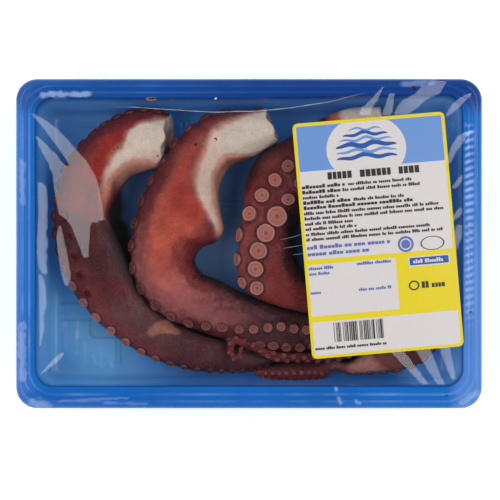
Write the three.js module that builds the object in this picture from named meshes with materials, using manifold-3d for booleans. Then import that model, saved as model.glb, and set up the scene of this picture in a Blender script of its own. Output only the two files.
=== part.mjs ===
// A shop pack of cooked octopus: four arms in a sealed blue tray with a clear lid film.
//
// Units are millimetres, +Z is up, and the tray stands on the plane z = 0. The origin is
// under the middle of the tray. X runs along its long side.
//
// Each arm is a loft. A row of its table is one station along the arm, from the cut base
// to the tip: where its outer edge and its inner edge lie, and how low and high it is
// there. Smooth curves through the stations give the whole arm. Its suckers stand on it
// in one or two rows: tables against the way along the arm give their radius, the pitch
// between them and their bearing round the arm, which is 0 degrees at the outer edge, 90
// on top and 180 at the inner edge.

import * as THREE from "three";
import { mergeVertices } from "three/addons/utils/BufferGeometryUtils.js";
import Module from "manifold-3d";

const wasm = await Module();
wasm.setup();

// ---------------------------------------------------------------- driving dimensions

const GAP = 0.3; // clear space between pieces that touch

const TRAY = {
  halfLength: 104.5, // half of the opening, along X
  halfWidth: 71, // half of the opening, along Y
  corner: 8.5, // corner radius of the opening
  cornerGrowth: 0.2, // how much of the way out from the opening the corner radius gains
  height: 34, // top of the sealing land
  draft: 3.6, // how far the wall leans in on its way down
  wall: 0.8,
  landWidth: 3.6, // flat land that the film is sealed to
  grooveWidth: 2.4,
  grooveDepth: 0.9,
  lipWidth: 4, // outer lip, past the groove
  lipDrop: 4.2, // how far the lip turns down
  footFillet: 4,
  mouthRound: 0.6, // where the wall turns over into the land
};

const PANEL = { inset: 12, rise: 0.6, ramp: 1.6 }; // raised panel pressed into the floor

const FILM = {
  thickness: 0.3,
  overhang: 9.2, // how far past the opening the film is sealed
  crown: 4.6, // how far the food pushes its middle up
  flatness: [2.6, 2.4], // powers of its fall towards the ends and the sides
  rings: 5,
};

const LABEL = {
  width: 74.5,
  length: 115,
  corner: 2.6,
  thickness: 0.3,
  centre: [63, 4],
  turn: THREE.MathUtils.degToRad(4.9),
  lift: 0.5, // above the film's smooth form, so that its facets stay clear
  cells: [6, 9],
};

const FULLNESS = 2 / 2.3; // of an arm's section: 1 is an ellipse, less is squarer

const SUCKER = {
  sides: [[3.9, 9], [3, 7], [1.4, 5], [0, 4]], // for the suckers over each radius
  cuppedOver: 3.9, // radius over which the rim stands up round the cup
  cupped: [[0, -0.6], [0.84, -0.6], [0.96, 0.3], [0.74, 0.46], [0, 0.16]], // in radii
  plain: [[0, -0.6], [0.85, -0.6], [0.9, 0.36], [0, 0.2]],
};

// outer x, outer y, inner x, inner y, low, high
const LEFT_ARM = {
  stations: [
    [-40, 66, -45.5, 38.5, 2, 24],
    [-55, 67, -53, 36.5, 1.7, 27],
    [-69, 62, -60, 33.5, 1.7, 28],
    [-81, 52.5, -66.5, 24, 1.7, 30],
    [-92, 38, -69.5, 13.5, 1.7, 30],
    [-97, 20, -67, 5, 1.7, 29],
    [-97, 3, -63.5, -3.5, 1.7, 27],
    [-91, -18, -59, -13, 1.7, 23.5],
    [-77, -38, -52, -26, 1.7, 20],
    [-56, -54, -42, -35.5, 1.7, 17.5],
    [-32, -62.5, -26.5, -44, 1.7, 14.5],
    [-6, -64.2, -6, -50, 1.7, 10.5],
    [8, -62, 8, -54.5, 1.7, 6.5],
    [14, -59, 13, -57, 2.2, 5],
  ],
  rings: 30,
  sides: 12,
  suckerRows: [
    {
      radii: [[0.06, 3], [0.5, 2.7], [0.8, 1.7], [0.97, 0.9]],
      pitches: [[0, 6.4], [0.55, 9.2], [0.8, 5], [0.97, 3]],
      bearings: [[0, 29]],
    },
  ],
};

const MIDDLE_ARM = {
  stations: [
    [7, 68.2, 12, 47, 3, 29],
    [-9, 66.5, -1, 42, 1.7, 32],
    [-22, 63, -10, 38, 1.7, 32],
    [-34.5, 53.5, -14.5, 29, 1.7, 31],
    [-45, 39, -14, 18, 1.7, 29.5],
    [-53, 24, -12.5, 7.5, 2, 28],
    [-57, 12, -16, 2, 3, 27.5],
    [-58.8, 1, -24, -1.5, 4, 27],
    [-58.5, -11, -27, -8, 5, 26.5],
    [-53.5, -24, -23.5, -14, 6, 25.5],
    [-41, -36.5, -14.5, -18.5, 6, 23.5],
    [-20.5, -44.5, -1.5, -25, 4, 20.5],
    [3, -51, 12, -29, 2, 18],
    [22, -53.8, 25, -32, 2, 16],
    [36, -51.5, 35, -35.5, 2, 14.5],
    [44, -51.4, 47, -39, 3, 13.5],
    [47, -52.2, 54.5, -46.5, 5, 13],
    [46, -53, 53, -55, 7, 13.5],
    [42, -53.8, 43, -58.6, 8.5, 14],
    [28.7, -54.4, 28.7, -58.8, 9, 13.7],
    [13, -53.8, 12, -58.5, 9, 13.7],
    [4.4, -50.2, 1.4, -53.2, 11, 15.5],
  ],
  curl: {
    centre: [-6.2, -52.8],
    radii: [3.3, 5.2],
    from: 55, // degrees
    to: 385,
    steps: 7,
    wind: [1, 0.65], // how far out it is, at its start and end
    half: [1.4, 0.7], // half its width, at its start and end
    low: [14, 14.5],
    high: [18, 16.5],
  },
  rings: 58,
  sides: 10,
  suckerRows: [
    {
      radii: [[0.04, 3], [0.3, 3], [0.42, 2.7], [0.52, 2.4], [0.65, 1.3], [0.97, 0.8]],
      pitches: [[0, 8], [0.2, 11.5], [0.34, 10], [0.44, 6.5], [0.55, 6.5], [0.66, 5], [0.97, 4]],
      bearings: [[0, 31], [0.36, 31], [0.44, 95], [0.55, 95], [0.68, 147], [0.76, 67], [1, 47]],
    },
    {
      radii: [[0.41, 2.7], [0.52, 2.4], [0.65, 1.3], [0.72, 1.2]],
      pitches: [[0.41, 7.5], [0.44, 6.5], [0.55, 6.5], [0.66, 5]],
      bearings: [[0.36, -23], [0.44, 41], [0.55, 41], [0.68, 93], [0.72, 53]],
    },
  ],
};

const CURLED_ARM = {
  stations: [
    [69.6, 68.2, 71.6, 37, 3, 29],
    [50, 67, 55, 28, 3, 31],
    [32, 58.5, 39.5, 20, 3, 31],
    [17, 49.3, 28.5, 14.5, 3, 31],
    [5.5, 41.8, 25, 10, 3, 30],
    [-0.5, 30.5, 23.7, 5.5, 3, 29],
    [-3, 17.5, 23.6, 1.2, 3, 28],
    [-4.7, 3.5, 24.5, -3.5, 3, 27.5],
    [-6, -8, 25, -8, 4, 27],
    [-4.5, -19, 27, -12, 7.5, 27],
    [2.5, -26.2, 30, -16, 12, 27],
    [14, -30.3, 35.5, -20, 16, 27],
    [28, -33.8, 42.5, -24.8, 17.5, 26.5],
    [39, -35, 46.5, -29.5, 18, 25],
    [45.7, -34.2, 48.2, -32.2, 20, 23],
  ],
  rings: 30,
  sides: 12,
  suckerRows: [
    {
      radii: [[0.052, 3.2], [0.27, 3.1], [0.35, 5.2], [0.44, 4.6], [0.56, 4.3], [0.7, 3.1]],
      pitches: [[0, 9.4], [0.27, 10.2], [0.7, 9.8]],
      bearings: [[0.06, 75], [0.26, 106], [0.36, 101], [0.46, 86], [0.53, 75], [0.61, 69], [0.7, 50]],
    },
    {
      radii: [[0.05, 3], [0.22, 3.1], [0.43, 3.9], [0.5, 3.5], [0.66, 2.8]],
      pitches: [[0, 9.2], [0.24, 9.3], [0.34, 9.6], [0.42, 11], [0.5, 12.8], [0.66, 11.6]],
      bearings: [[0.05, 30], [0.22, 72], [0.27, 78], [0.35, 70], [0.43, 46], [0.5, 15], [0.66, 28]],
    },
  ],
};

const RIGHT_ARM = {
  stations: [
    [94, 52.5, 72, 47.5, 2, 26],
    [97.5, 28, 73.5, 25, 1.7, 28],
    [98.8, 0, 74, 2, 1.7, 27],
    [99, -25, 72.5, -15, 1.7, 24.5],
    [96.5, -45, 69, -30, 1.7, 21.5],
    [89, -57.5, 64.5, -41, 1.7, 19],
    [76, -63.2, 60, -49.5, 1.7, 16],
    [62, -64.6, 56, -55, 1.7, 14],
    [51, -65, 50, -58.9, 1.7, 11],
    [43.7, -63.5, 43.7, -58, 1.7, 8.5],
    [37, -66.8, 36.5, -58.8, 4, 12],
    [25.8, -67.8, 25.3, -59.2, 7, 16.5],
    [11.5, -67.2, 12, -60.3, 8, 15],
    [2, -65, 3.5, -62.4, 9, 12],
  ],
  rings: 30,
  sides: 10,
  suckerRows: [
    {
      radii: [[0.07, 2.8], [0.5, 2.2], [0.68, 1.4], [0.97, 0.8]],
      pitches: [[0, 9], [0.5, 7], [0.7, 3.9], [0.97, 3.4]],
      bearings: [[0, 16], [0.68, 20], [0.8, 87], [1, 87]],
    },
    {
      radii: [[0.73, 1.3], [0.96, 0.8]],
      pitches: [[0.7, 3.9], [0.97, 3.4]],
      bearings: [[0.68, -40], [0.8, 27], [1, 27]],
    },
  ],
};

// ---------------------------------------------------------------- solids

/** The solid that a closed geometry bounds, with its faces turned outwards. */
function solid(geometry) {
  const bare = geometry.clone();
  for (const name of Object.keys(bare.attributes)) {
    if (name !== "position") bare.deleteAttribute(name);
  }
  const merged = mergeVertices(bare, 1e-4);
  const vertProperties = Float32Array.from(merged.attributes.position.array);
  const triVerts = Uint32Array.from(merged.index.array);
  const shape = new wasm.Manifold(new wasm.Mesh({ numProp: 3, vertProperties, triVerts }));
  if (shape.volume() >= 0) return shape;
  const turned = triVerts.slice();
  for (let corner = 0; corner < turned.length; corner += 3) {
    [turned[corner], turned[corner + 1]] = [triVerts[corner + 1], triVerts[corner]];
  }
  return new wasm.Manifold(new wasm.Mesh({ numProp: 3, vertProperties, triVerts: turned }));
}

/** The geometry of a solid. */
function geometryOf(shape) {
  const mesh = shape.getMesh();
  const geometry = new THREE.BufferGeometry();
  geometry.setAttribute("position", new THREE.BufferAttribute(mesh.vertProperties, 3));
  geometry.setIndex(new THREE.BufferAttribute(mesh.triVerts, 1));
  geometry.computeVertexNormals();
  return geometry;
}

/** A closed skin over rings with equal numbers of points, with a flat fan at each end. */
function skin(rings) {
  const count = rings[0].length;
  const points = rings.flat();
  const faces = [];
  for (let ring = 0; ring + 1 < rings.length; ring += 1) {
    for (let side = 0; side < count; side += 1) {
      const here = ring * count + side;
      const next = ring * count + ((side + 1) % count);
      faces.push(here, next, next + count, here, next + count, here + count);
    }
  }
  for (const [ring, order] of [[0, -1], [rings.length - 1, 1]]) {
    const middle = new THREE.Vector3();
    rings[ring].forEach((point) => middle.addScaledVector(point, 1 / count));
    points.push(middle);
    for (let side = 0; side < count; side += 1) {
      const here = ring * count + side;
      const next = ring * count + ((side + 1) % count);
      const fan = order > 0 ? [here, next] : [next, here];
      faces.push(...fan, points.length - 1);
    }
  }
  const geometry = new THREE.BufferGeometry().setFromPoints(points);
  geometry.setIndex(faces);
  return geometry;
}

// ---------------------------------------------------------------- tray, film and label

/** A rounded rectangle at height z, offset outwards from the tray's opening. */
function ringAt(offset, z, cornerSteps = 5, sideSteps = 1) {
  const growth = offset > 0 ? TRAY.cornerGrowth : 1;
  const radius = Math.max(TRAY.corner + offset * growth, 1.5);
  const x = TRAY.halfLength + offset - radius;
  const y = TRAY.halfWidth + offset - radius;
  const centres = [[x, y], [-x, y], [-x, -y], [x, -y]];
  const ring = [];
  centres.forEach(([cx, cy], corner) => {
    for (let step = 0; step <= cornerSteps; step += 1) {
      const angle = (corner + step / cornerSteps) * (Math.PI / 2);
      ring.push(new THREE.Vector3(cx + radius * Math.cos(angle), cy + radius * Math.sin(angle), z));
    }
    const end = ring.at(-1);
    const [nx, ny] = centres[(corner + 1) % 4];
    const turn = (corner + 1) * (Math.PI / 2);
    const start = new THREE.Vector3(nx + radius * Math.cos(turn), ny + radius * Math.sin(turn), z);
    for (let step = 1; step < sideSteps; step += 1) {
      ring.push(end.clone().lerp(start, step / sideSteps));
    }
  });
  return ring;
}

/** Offset and height down the inside of the tray, from the floor's middle to the lip's edge. */
function trayInside() {
  const { height, draft, footFillet, mouthRound, landWidth, grooveWidth, grooveDepth } = TRAY;
  const { lipWidth, lipDrop } = TRAY;
  const floor = TRAY.wall;
  const panelEdge = -draft - PANEL.inset;
  const groove = landWidth + grooveWidth / 2;
  const lip = landWidth + grooveWidth;
  return [
    [panelEdge - PANEL.ramp, floor + PANEL.rise],
    [panelEdge, floor],
    [-draft - footFillet, floor],
    [-draft - footFillet * 0.3, floor + footFillet * 0.3],
    [-draft + 0.2, floor + footFillet],
    [0, height - mouthRound],
    [mouthRound, height],
    [landWidth, height],
    [groove - grooveWidth / 5, height - grooveDepth],
    [groove + grooveWidth / 5, height - grooveDepth],
    [lip, height],
    [lip + lipWidth * 0.6, height - lipDrop * 0.12],
    [lip + lipWidth * 0.92, height - lipDrop * 0.4],
    [lip + lipWidth, height - lipDrop],
  ];
}

/** The same line on the outside of the sheet, one wall thickness away, its foot flat. */
function trayOutside() {
  const line = trayInside().map(([offset, z]) => new THREE.Vector2(offset, z));
  return line.map((point, index) => {
    const before = line[Math.max(index - 1, 0)];
    const after = line[Math.min(index + 1, line.length - 1)];
    const along = after.clone().sub(before).normalize();
    const outside = new THREE.Vector2(along.y, -along.x).multiplyScalar(TRAY.wall);
    outside.add(point);
    return outside.setY(outside.y < TRAY.wall / 10 ? 0 : outside.y);
  });
}

function makeTray() {
  const inside = trayInside().map(([offset, z]) => ringAt(offset, z));
  const outside = trayOutside().map(({ x, y }) => ringAt(x, y));
  return geometryOf(solid(skin([...inside, ...outside.reverse()])));
}

/** Height of the film's under side: flat on the rim and crowned over the food. */
function filmHeight(x, y) {
  const lengthwise = Math.min(Math.abs(x) / TRAY.halfLength, 1);
  const across = Math.min(Math.abs(y) / TRAY.halfWidth, 1);
  const [ends, sides] = FILM.flatness;
  return TRAY.height + GAP + FILM.crown * (1 - lengthwise ** ends) * (1 - across ** sides);
}

function makeFilm() {
  const onFilm = (ring, lift) => ring.map(({ x, y }) => new THREE.Vector3(x, y, filmHeight(x, y) + lift));
  const spans = [FILM.overhang, 0];
  for (let ring = 1; ring < FILM.rings; ring += 1) {
    spans.push((-TRAY.halfWidth * 0.97 * ring) / FILM.rings);
  }
  const lower = spans.map((offset) => onFilm(ringAt(offset, 0, 4, 4), 0));
  const upper = spans.map((offset) => onFilm(ringAt(offset, 0, 4, 4), FILM.thickness));
  return geometryOf(solid(skin([...lower.reverse(), ...upper])));
}

/** The label is a sheet with rounded corners, laid on the film and turned a little. */
function makeLabel() {
  const [columns, rows] = LABEL.cells;
  const sheet = new THREE.BoxGeometry(LABEL.width, LABEL.length, LABEL.thickness, columns, rows, 1);
  const position = sheet.attributes.position;
  const reach = new THREE.Vector2(LABEL.width / 2, LABEL.length / 2);
  const point = new THREE.Vector2();
  const [cx, cy] = LABEL.centre;
  for (let index = 0; index < position.count; index += 1) {
    point.set(position.getX(index), position.getY(index));
    const isCorner = Math.abs(point.x) > reach.x - 0.1 && Math.abs(point.y) > reach.y - 0.1;
    if (isCorner) point.multiplyScalar(1 - (LABEL.corner * 0.29) / reach.x);
    point.rotateAround(new THREE.Vector2(), LABEL.turn);
    const x = point.x + cx;
    const y = point.y + cy;
    const z = filmHeight(x, y) + FILM.thickness + LABEL.lift + position.getZ(index) + LABEL.thickness / 2;
    position.setXYZ(index, x, y, z);
  }
  return geometryOf(solid(sheet));
}

// ---------------------------------------------------------------- arms

/** The value at t of a table of [t, value] pairs, with straight lines between them. */
function along(table, t) {
  const next = table.findIndex(([at]) => at >= t);
  if (next < 0) return table.at(-1)[1];
  if (next === 0) return table[0][1];
  const [t0, v0] = table[next - 1];
  const [t1, v1] = table[next];
  return THREE.MathUtils.mapLinear(t, t0, t1, v0, v1);
}

/** Stations of a thin tip that winds inwards round an oval. */
function curlStations({ centre, radii, from, to, steps, wind, half, low, high }) {
  const stations = [];
  for (let step = 0; step < steps; step += 1) {
    const part = step / (steps - 1);
    const angle = THREE.MathUtils.degToRad(THREE.MathUtils.lerp(from, to, part));
    const shrink = THREE.MathUtils.lerp(...wind, part);
    const thick = THREE.MathUtils.lerp(...half, part);
    const edge = (side) => [
      centre[0] + (radii[0] * shrink + side * thick) * Math.cos(angle),
      centre[1] + (radii[1] * shrink + side * thick) * Math.sin(angle),
    ];
    const heights = [low, high].map((ends) => THREE.MathUtils.lerp(...ends, part));
    stations.push([...edge(1), ...edge(-1), ...heights]);
  }
  return stations;
}

/** The arm's surface: a point for t along it and a bearing round it, in degrees. */
function armSurface({ stations, curl }) {
  const rows = curl ? [...stations, ...curlStations(curl)] : stations;
  const outer = new THREE.CatmullRomCurve3(rows.map(([x, y, , , low]) => new THREE.Vector3(x, y, low)));
  const inner = new THREE.CatmullRomCurve3(rows.map(([, , x, y, , high]) => new THREE.Vector3(x, y, high)));
  const bulge = (value) => Math.sign(value) * Math.abs(value) ** FULLNESS;
  return (t, bearing) => {
    const angle = THREE.MathUtils.degToRad(bearing);
    const edge = outer.getPoint(t);
    const heel = inner.getPoint(t);
    const middle = edge.clone().add(heel).multiplyScalar(0.5);
    const reach = edge.clone().sub(middle).setZ(0).multiplyScalar(bulge(Math.cos(angle)));
    reach.z = (bulge(Math.sin(angle)) * (heel.z - edge.z)) / 2;
    return middle.add(reach);
  };
}

function armBody(arm, surface) {
  const rings = [];
  for (let ring = 0; ring <= arm.rings; ring += 1) {
    const points = [];
    for (let side = 0; side < arm.sides; side += 1) {
      points.push(surface(ring / arm.rings, (360 * (side + 0.5)) / arm.sides));
    }
    rings.push(points);
  }
  return skin(rings);
}

/** A sucker: a low cup with a rim and a dimple, standing along +Y on y = 0. */
function suckerCup(radius) {
  const [, sides] = SUCKER.sides.find(([over]) => radius > over);
  const profile = radius > SUCKER.cuppedOver ? SUCKER.cupped : SUCKER.plain;
  return new THREE.LatheGeometry(profile.map(([x, y]) => new THREE.Vector2(x * radius, y * radius)), sides);
}

/** The suckers of one row, each square to the surface, a pitch apart along the arm. */
function suckerCups({ radii, pitches, bearings }, surface) {
  const step = 0.001;
  const cups = [];
  let run = Infinity;
  let before = surface(radii[0][0], along(bearings, radii[0][0]));
  for (let t = radii[0][0]; t < radii.at(-1)[0]; t += step) {
    const bearing = along(bearings, t);
    const here = surface(t, bearing);
    run += here.distanceTo(before);
    before = here;
    if (run < along(pitches, t)) continue;
    run = 0;
    const forward = surface(t + 4 * step, bearing).sub(surface(t - 4 * step, bearing));
    const round = surface(t, bearing + 4).sub(surface(t, bearing - 4));
    const normal = forward.cross(round).normalize();
    if (normal.dot(here.clone().sub(surface(t, bearing + 180))) < 0) normal.negate();
    const cup = suckerCup(along(radii, t));
    cup.applyQuaternion(new THREE.Quaternion().setFromUnitVectors(new THREE.Vector3(0, 1, 0), normal));
    cup.translate(here.x, here.y, here.z);
    cups.push(solid(cup));
  }
  return cups;
}

/** One arm, its suckers joined to it. */
function makeArm(arm) {
  const surface = armSurface(arm);
  const cups = arm.suckerRows.flatMap((row) => suckerCups(row, surface));
  const body = solid(armBody(arm, surface));
  return geometryOf(cups.reduce((shape, cup) => shape.add(cup), body));
}

// ---------------------------------------------------------------- the pack

const COLOURS = {
  tray: new THREE.MeshStandardMaterial({ color: 0x1c57b8, roughness: 0.25, metalness: 0 }),
  film: new THREE.MeshStandardMaterial({
    color: 0xf2f6fa, roughness: 0.08, metalness: 0, transparent: true, opacity: 0.2,
  }),
  label: new THREE.MeshStandardMaterial({ color: 0xe9e4e4, roughness: 0.5, metalness: 0 }),
  skin: new THREE.MeshStandardMaterial({ color: 0x8c4038, roughness: 0.4, metalness: 0 }),
};

function named(name, geometry, material) {
  const mesh = new THREE.Mesh(geometry, material);
  mesh.name = name;
  return mesh;
}

const pack = new THREE.Group();
pack.add(named("tray", makeTray(), COLOURS.tray));
pack.add(named("arm_left", makeArm(LEFT_ARM), COLOURS.skin));
pack.add(named("arm_middle", makeArm(MIDDLE_ARM), COLOURS.skin));
pack.add(named("arm_curled", makeArm(CURLED_ARM), COLOURS.skin));
pack.add(named("arm_right", makeArm(RIGHT_ARM), COLOURS.skin));
pack.add(named("lid_film", makeFilm(), COLOURS.film));
pack.add(named("label", makeLabel(), COLOURS.label));

export default pack;
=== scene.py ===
# %% [markdown]
# # A sealed pack of cooked octopus
#
# Four cooked octopus arms lie in a formed blue tray under a clear lid film with a paper
# label on it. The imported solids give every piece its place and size. This script keeps
# those places and makes the surfaces that are seen: skin, suckers, cut flesh, film, sheet
# plastic and print. Every length below is in millimetres until a mesh is made.

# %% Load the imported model
import itertools
import math

import bpy
import numpy as np
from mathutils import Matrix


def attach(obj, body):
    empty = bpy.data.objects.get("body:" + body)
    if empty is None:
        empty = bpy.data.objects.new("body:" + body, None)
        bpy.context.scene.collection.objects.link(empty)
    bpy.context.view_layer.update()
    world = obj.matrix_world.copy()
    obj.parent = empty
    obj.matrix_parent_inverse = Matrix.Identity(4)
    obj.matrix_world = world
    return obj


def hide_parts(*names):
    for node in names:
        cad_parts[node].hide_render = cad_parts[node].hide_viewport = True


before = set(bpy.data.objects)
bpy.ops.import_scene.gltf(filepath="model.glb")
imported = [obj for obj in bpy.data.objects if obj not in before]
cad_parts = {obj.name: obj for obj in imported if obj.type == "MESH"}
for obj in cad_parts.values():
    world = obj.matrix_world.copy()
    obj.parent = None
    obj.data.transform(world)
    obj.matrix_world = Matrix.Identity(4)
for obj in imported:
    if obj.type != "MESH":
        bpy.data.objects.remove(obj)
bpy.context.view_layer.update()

MM = 0.001
ROOT = "root"

# %% [markdown]
# ## Small tools for surfaces
#
# Each new piece is a surface worked out with numpy: rows and columns of points, made as
# whole arrays. A learner could push vertices about by hand instead, but a formula can be
# read, changed by one number and run again. These helpers turn such a grid into a mesh.

# %% Faces of a grid
def grid_faces(rows, columns, closed=False):
    """Four-cornered faces between neighbouring rows and columns of points numbered row by row."""
    row = np.arange(rows - 1)[:, None] * columns
    column = np.arange(columns if closed else columns - 1)[None, :]
    right = (column + 1) % columns
    ahead = row + columns
    corners = np.broadcast_arrays(row + column, row + right, ahead + right, ahead + column)
    return np.stack(corners, -1).reshape(-1, 4)


def closed_rings(rings, around, copies=1):
    """Faces of stacked closed rings with a pole at each end; the two poles are each copy's last points."""
    hub = np.arange(around)
    ahead = (hub + 1) % around
    top, pole = (rings - 1) * around, np.full(around, rings * around)
    caps = np.concatenate([
        np.column_stack([ahead, hub, pole]), np.column_stack([top + hub, top + ahead, pole + 1])])
    shift = (np.arange(copies) * (rings * around + 2))[:, None, None]
    quads = grid_faces(rings, around, closed=True)
    return (quads + shift).reshape(-1, 4).tolist() + (caps + shift).reshape(-1, 3).tolist()


def make_piece(name, points, faces, materials, replaces=(), attributes=None, smooth=True):
    """A mesh object at the origin, its points given in millimetres, that rides on the pack."""
    mesh = bpy.data.meshes.new(name)
    mesh.from_pydata((np.asarray(points) * MM).tolist(), [], [list(face) for face in faces])
    for material in materials:
        mesh.materials.append(material)
    for label, values in (attributes or {}).items():
        values = np.asarray(values, dtype=np.float32)
        if values.ndim == 1:
            layer = mesh.attributes.new(label, "FLOAT", "POINT")
            layer.data.foreach_set("value", values)
        else:
            layer = mesh.attributes.new(label, "FLOAT_COLOR", "POINT")
            opaque = np.concatenate([values, np.ones((len(values), 1), dtype=np.float32)], axis=1)
            layer.data.foreach_set("color", opaque.ravel())
    mesh.polygons.foreach_set("use_smooth", np.full(len(mesh.polygons), smooth))
    mesh.update()
    piece = bpy.data.objects.new(name, mesh)
    bpy.context.scene.collection.objects.link(piece)
    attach(piece, ROOT)
    if replaces:
        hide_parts(*replaces)
    print(f"{name}: {len(mesh.vertices)} points, {len(mesh.polygons)} faces")
    return piece


# %% A soft random field
LATTICE = np.random.default_rng(20).random((32, 32, 32))


def noise(points, size, seed=0):
    """Smooth noise from -1 to 1: random values at the corners of cubes of this size, blended in between."""
    place = np.asarray(points) / size + 7.31 * seed
    cell = np.floor(place).astype(int)
    part = place - cell
    part = part * part * (3 - 2 * part)
    total = np.zeros(place.shape[:-1])
    for corner in itertools.product((0, 1), repeat=3):
        at = (cell + corner) % len(LATTICE)
        weight = np.prod(np.where(np.array(corner) == 1, part, 1 - part), axis=-1)
        total += LATTICE[at[..., 0], at[..., 1], at[..., 2]] * weight
    return 2 * total - 1


def layered(points, seed, *layers):
    """Noise of several sizes added up; each layer is its height and its size."""
    return sum(high * noise(points, size, seed + index) for index, (high, size) in enumerate(layers))


def rise(value):
    """A smooth step: 0 below 0, 1 above 1, and an S between."""
    value = np.clip(value, 0, 1)
    return value * value * (3 - 2 * value)


def table(rows, at):
    """The second column of a table of pairs, read at any value of the first with straight lines."""
    rows = np.asarray(rows, dtype=float)
    return np.interp(at, rows[:, 0], rows[:, 1])


def colour(red, green, blue):
    """A colour given in the usual 0 to 255 steps, as the linear values that a shader mixes."""
    steps = np.array([red, green, blue]) / 255
    return np.where(steps <= 0.04045, steps / 12.92, ((steps + 0.055) / 1.055) ** 2.4)


def lay(tone, new, mask):
    """Lays a colour over the colours so far where the mask is 1."""
    return tone + (new - tone) * np.asarray(mask)[..., None]


# %% [markdown]
# ## Camera, light and floor
#
# The pack is looked at from straight above. Two long soft boxes hang to the left and the
# right of the camera, which leaves a dark gap overhead: flat film then stays clear, and
# only film that leans towards a box shines white, as it does on a real counter.

# %% Camera
camera_data = bpy.data.cameras.new("camera")
camera = bpy.data.objects.new("camera", camera_data)
bpy.context.scene.collection.objects.link(camera)
bpy.context.scene.camera = camera
camera.location = (0, -20 * MM, 784 * MM)
camera_data.lens = 110.43
camera_data.sensor_width = 36
camera_data.shift_x = 0.002
camera_data.shift_y = 0.0688
camera_data.clip_start = 0.01
print("camera is", camera.location.z, "m above the floor")

# %% Lights
DISTANCE = 1.5
# degrees from straight up where the box begins and ends, and its brightness
SOFT_BOXES = {"left": (-47, -22, 2.6), "right": (22, 47, 2.6)}
BOX_LENGTH = 1.6


def soft_box(name, start, end, brightness):
    """A long area light that fills the angles from start to end as seen from the pack."""
    data = bpy.data.lights.new(name, "AREA")
    data.shape = "RECTANGLE"
    data.size = 2 * DISTANCE * math.tan(math.radians((end - start) / 2))
    data.size_y = BOX_LENGTH
    data.energy = brightness * math.pi * data.size * data.size_y
    light = bpy.data.objects.new(name, data)
    lean = math.radians((start + end) / 2)
    light.location = (DISTANCE * math.sin(lean), 0, DISTANCE * math.cos(lean))
    light.rotation_euler = (0, lean, 0)
    bpy.context.scene.collection.objects.link(light)
    return light


for name, (start, end, brightness) in SOFT_BOXES.items():
    print(name, "gives", round(soft_box("soft_box_" + name, start, end, brightness).data.energy, 1), "W")

# %% Room light: a pale dome that is dark overhead
world = bpy.data.worlds.new("room")
world.use_nodes = True
room = world.node_tree
direction = room.nodes.new("ShaderNodeTexCoord")
parts = room.nodes.new("ShaderNodeSeparateXYZ")
dome = room.nodes.new("ShaderNodeMapRange")
DARK_OVERHEAD = {"From Min": math.cos(math.radians(30)), "From Max": math.cos(math.radians(20)),
                 "To Min": 0.45, "To Max": 0.04}
for key, value in DARK_OVERHEAD.items():
    dome.inputs[key].default_value = value
room.links.new(direction.outputs["Generated"], parts.inputs[0])
room.links.new(parts.outputs["Z"], dome.inputs["Value"])
room.links.new(dome.outputs["Result"], room.nodes["Background"].inputs["Strength"])
room.nodes["Background"].inputs["Color"].default_value = (0.93, 0.97, 1.0, 1)
bpy.context.scene.world = world
bpy.context.scene.view_settings.view_transform = "Standard"

# %% [markdown]
# ## Tools for materials
#
# A material is a small graph of nodes. Writing each node on one line, with its inputs by
# name, keeps the graph readable. What several materials share, such as fine mottling, is a
# node group that is built once and placed in each of them with its own values.

# %% Nodes by name
def node(tree, kind, inputs=None, **settings):
    """A shader node with its settings, each input given as a value or as another node's output."""
    made = tree.nodes.new("ShaderNode" + kind)
    for key, value in settings.items():
        setattr(made, key, value)
    for key, value in (inputs or {}).items():
        if isinstance(value, bpy.types.NodeSocket):
            tree.links.new(value, made.inputs[key])
        else:
            made.inputs[key].default_value = value
    return made


def new_material(name):
    """An empty material's node tree, with its output node."""
    material = bpy.data.materials.new(name)
    material.use_nodes = True
    material.node_tree.nodes.clear()
    return material, material.node_tree, node(material.node_tree, "OutputMaterial")


def new_group(name, inputs, outputs):
    """A node group with named number inputs and outputs, and its two end nodes."""
    group = bpy.data.node_groups.new(name, "ShaderNodeTree")
    for label, value in inputs.items():
        socket = group.interface.new_socket(label, in_out="INPUT", socket_type="NodeSocketFloat")
        socket.default_value = value
    for label in outputs:
        group.interface.new_socket(label, in_out="OUTPUT", socket_type="NodeSocketFloat")
    return group, group.nodes.new("NodeGroupInput"), group.nodes.new("NodeGroupOutput")


def use_group(tree, group, **values):
    """Places a node group in a material with its own values."""
    placed = tree.nodes.new("ShaderNodeGroup")
    placed.node_tree = group
    for key, value in values.items():
        placed.inputs[key].default_value = value
    return placed


def shaded(tree, paint, shade):
    """A colour darkened by a shade: the two multiplied, each a value or another node's output."""
    inputs = {"Factor": 1.0, "A": paint, "B": shade}
    return node(tree, "Mix", inputs, data_type="RGBA", blend_type="MULTIPLY").outputs["Result"]


# %% Mottling, a group that every material uses
mottle_group, mottle_in, mottle_out = new_group(
    "mottling", {"Size": 2.0, "Strength": 0.2}, ["Shade", "Height"])
where = node(mottle_group, "TexCoord").outputs["Object"]
per_metre = node(mottle_group, "Math", {0: 1000.0, 1: mottle_in.outputs["Size"]}, operation="DIVIDE")
clouds = node(mottle_group, "TexNoise", {
    "Vector": where, "Scale": per_metre.outputs[0], "Detail": 5.0, "Roughness": 0.65})
centred = node(mottle_group, "Math", {0: clouds.outputs["Fac"], 1: 0.5}, operation="SUBTRACT")
scaled = node(mottle_group, "Math", {
    0: centred.outputs[0], 1: mottle_in.outputs["Strength"], 2: 1.0}, operation="MULTIPLY_ADD")
mottle_group.links.new(scaled.outputs[0], mottle_out.inputs["Shade"])
mottle_group.links.new(clouds.outputs["Fac"], mottle_out.inputs["Height"])
print("group mottling has", len(mottle_group.nodes), "nodes")

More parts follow.
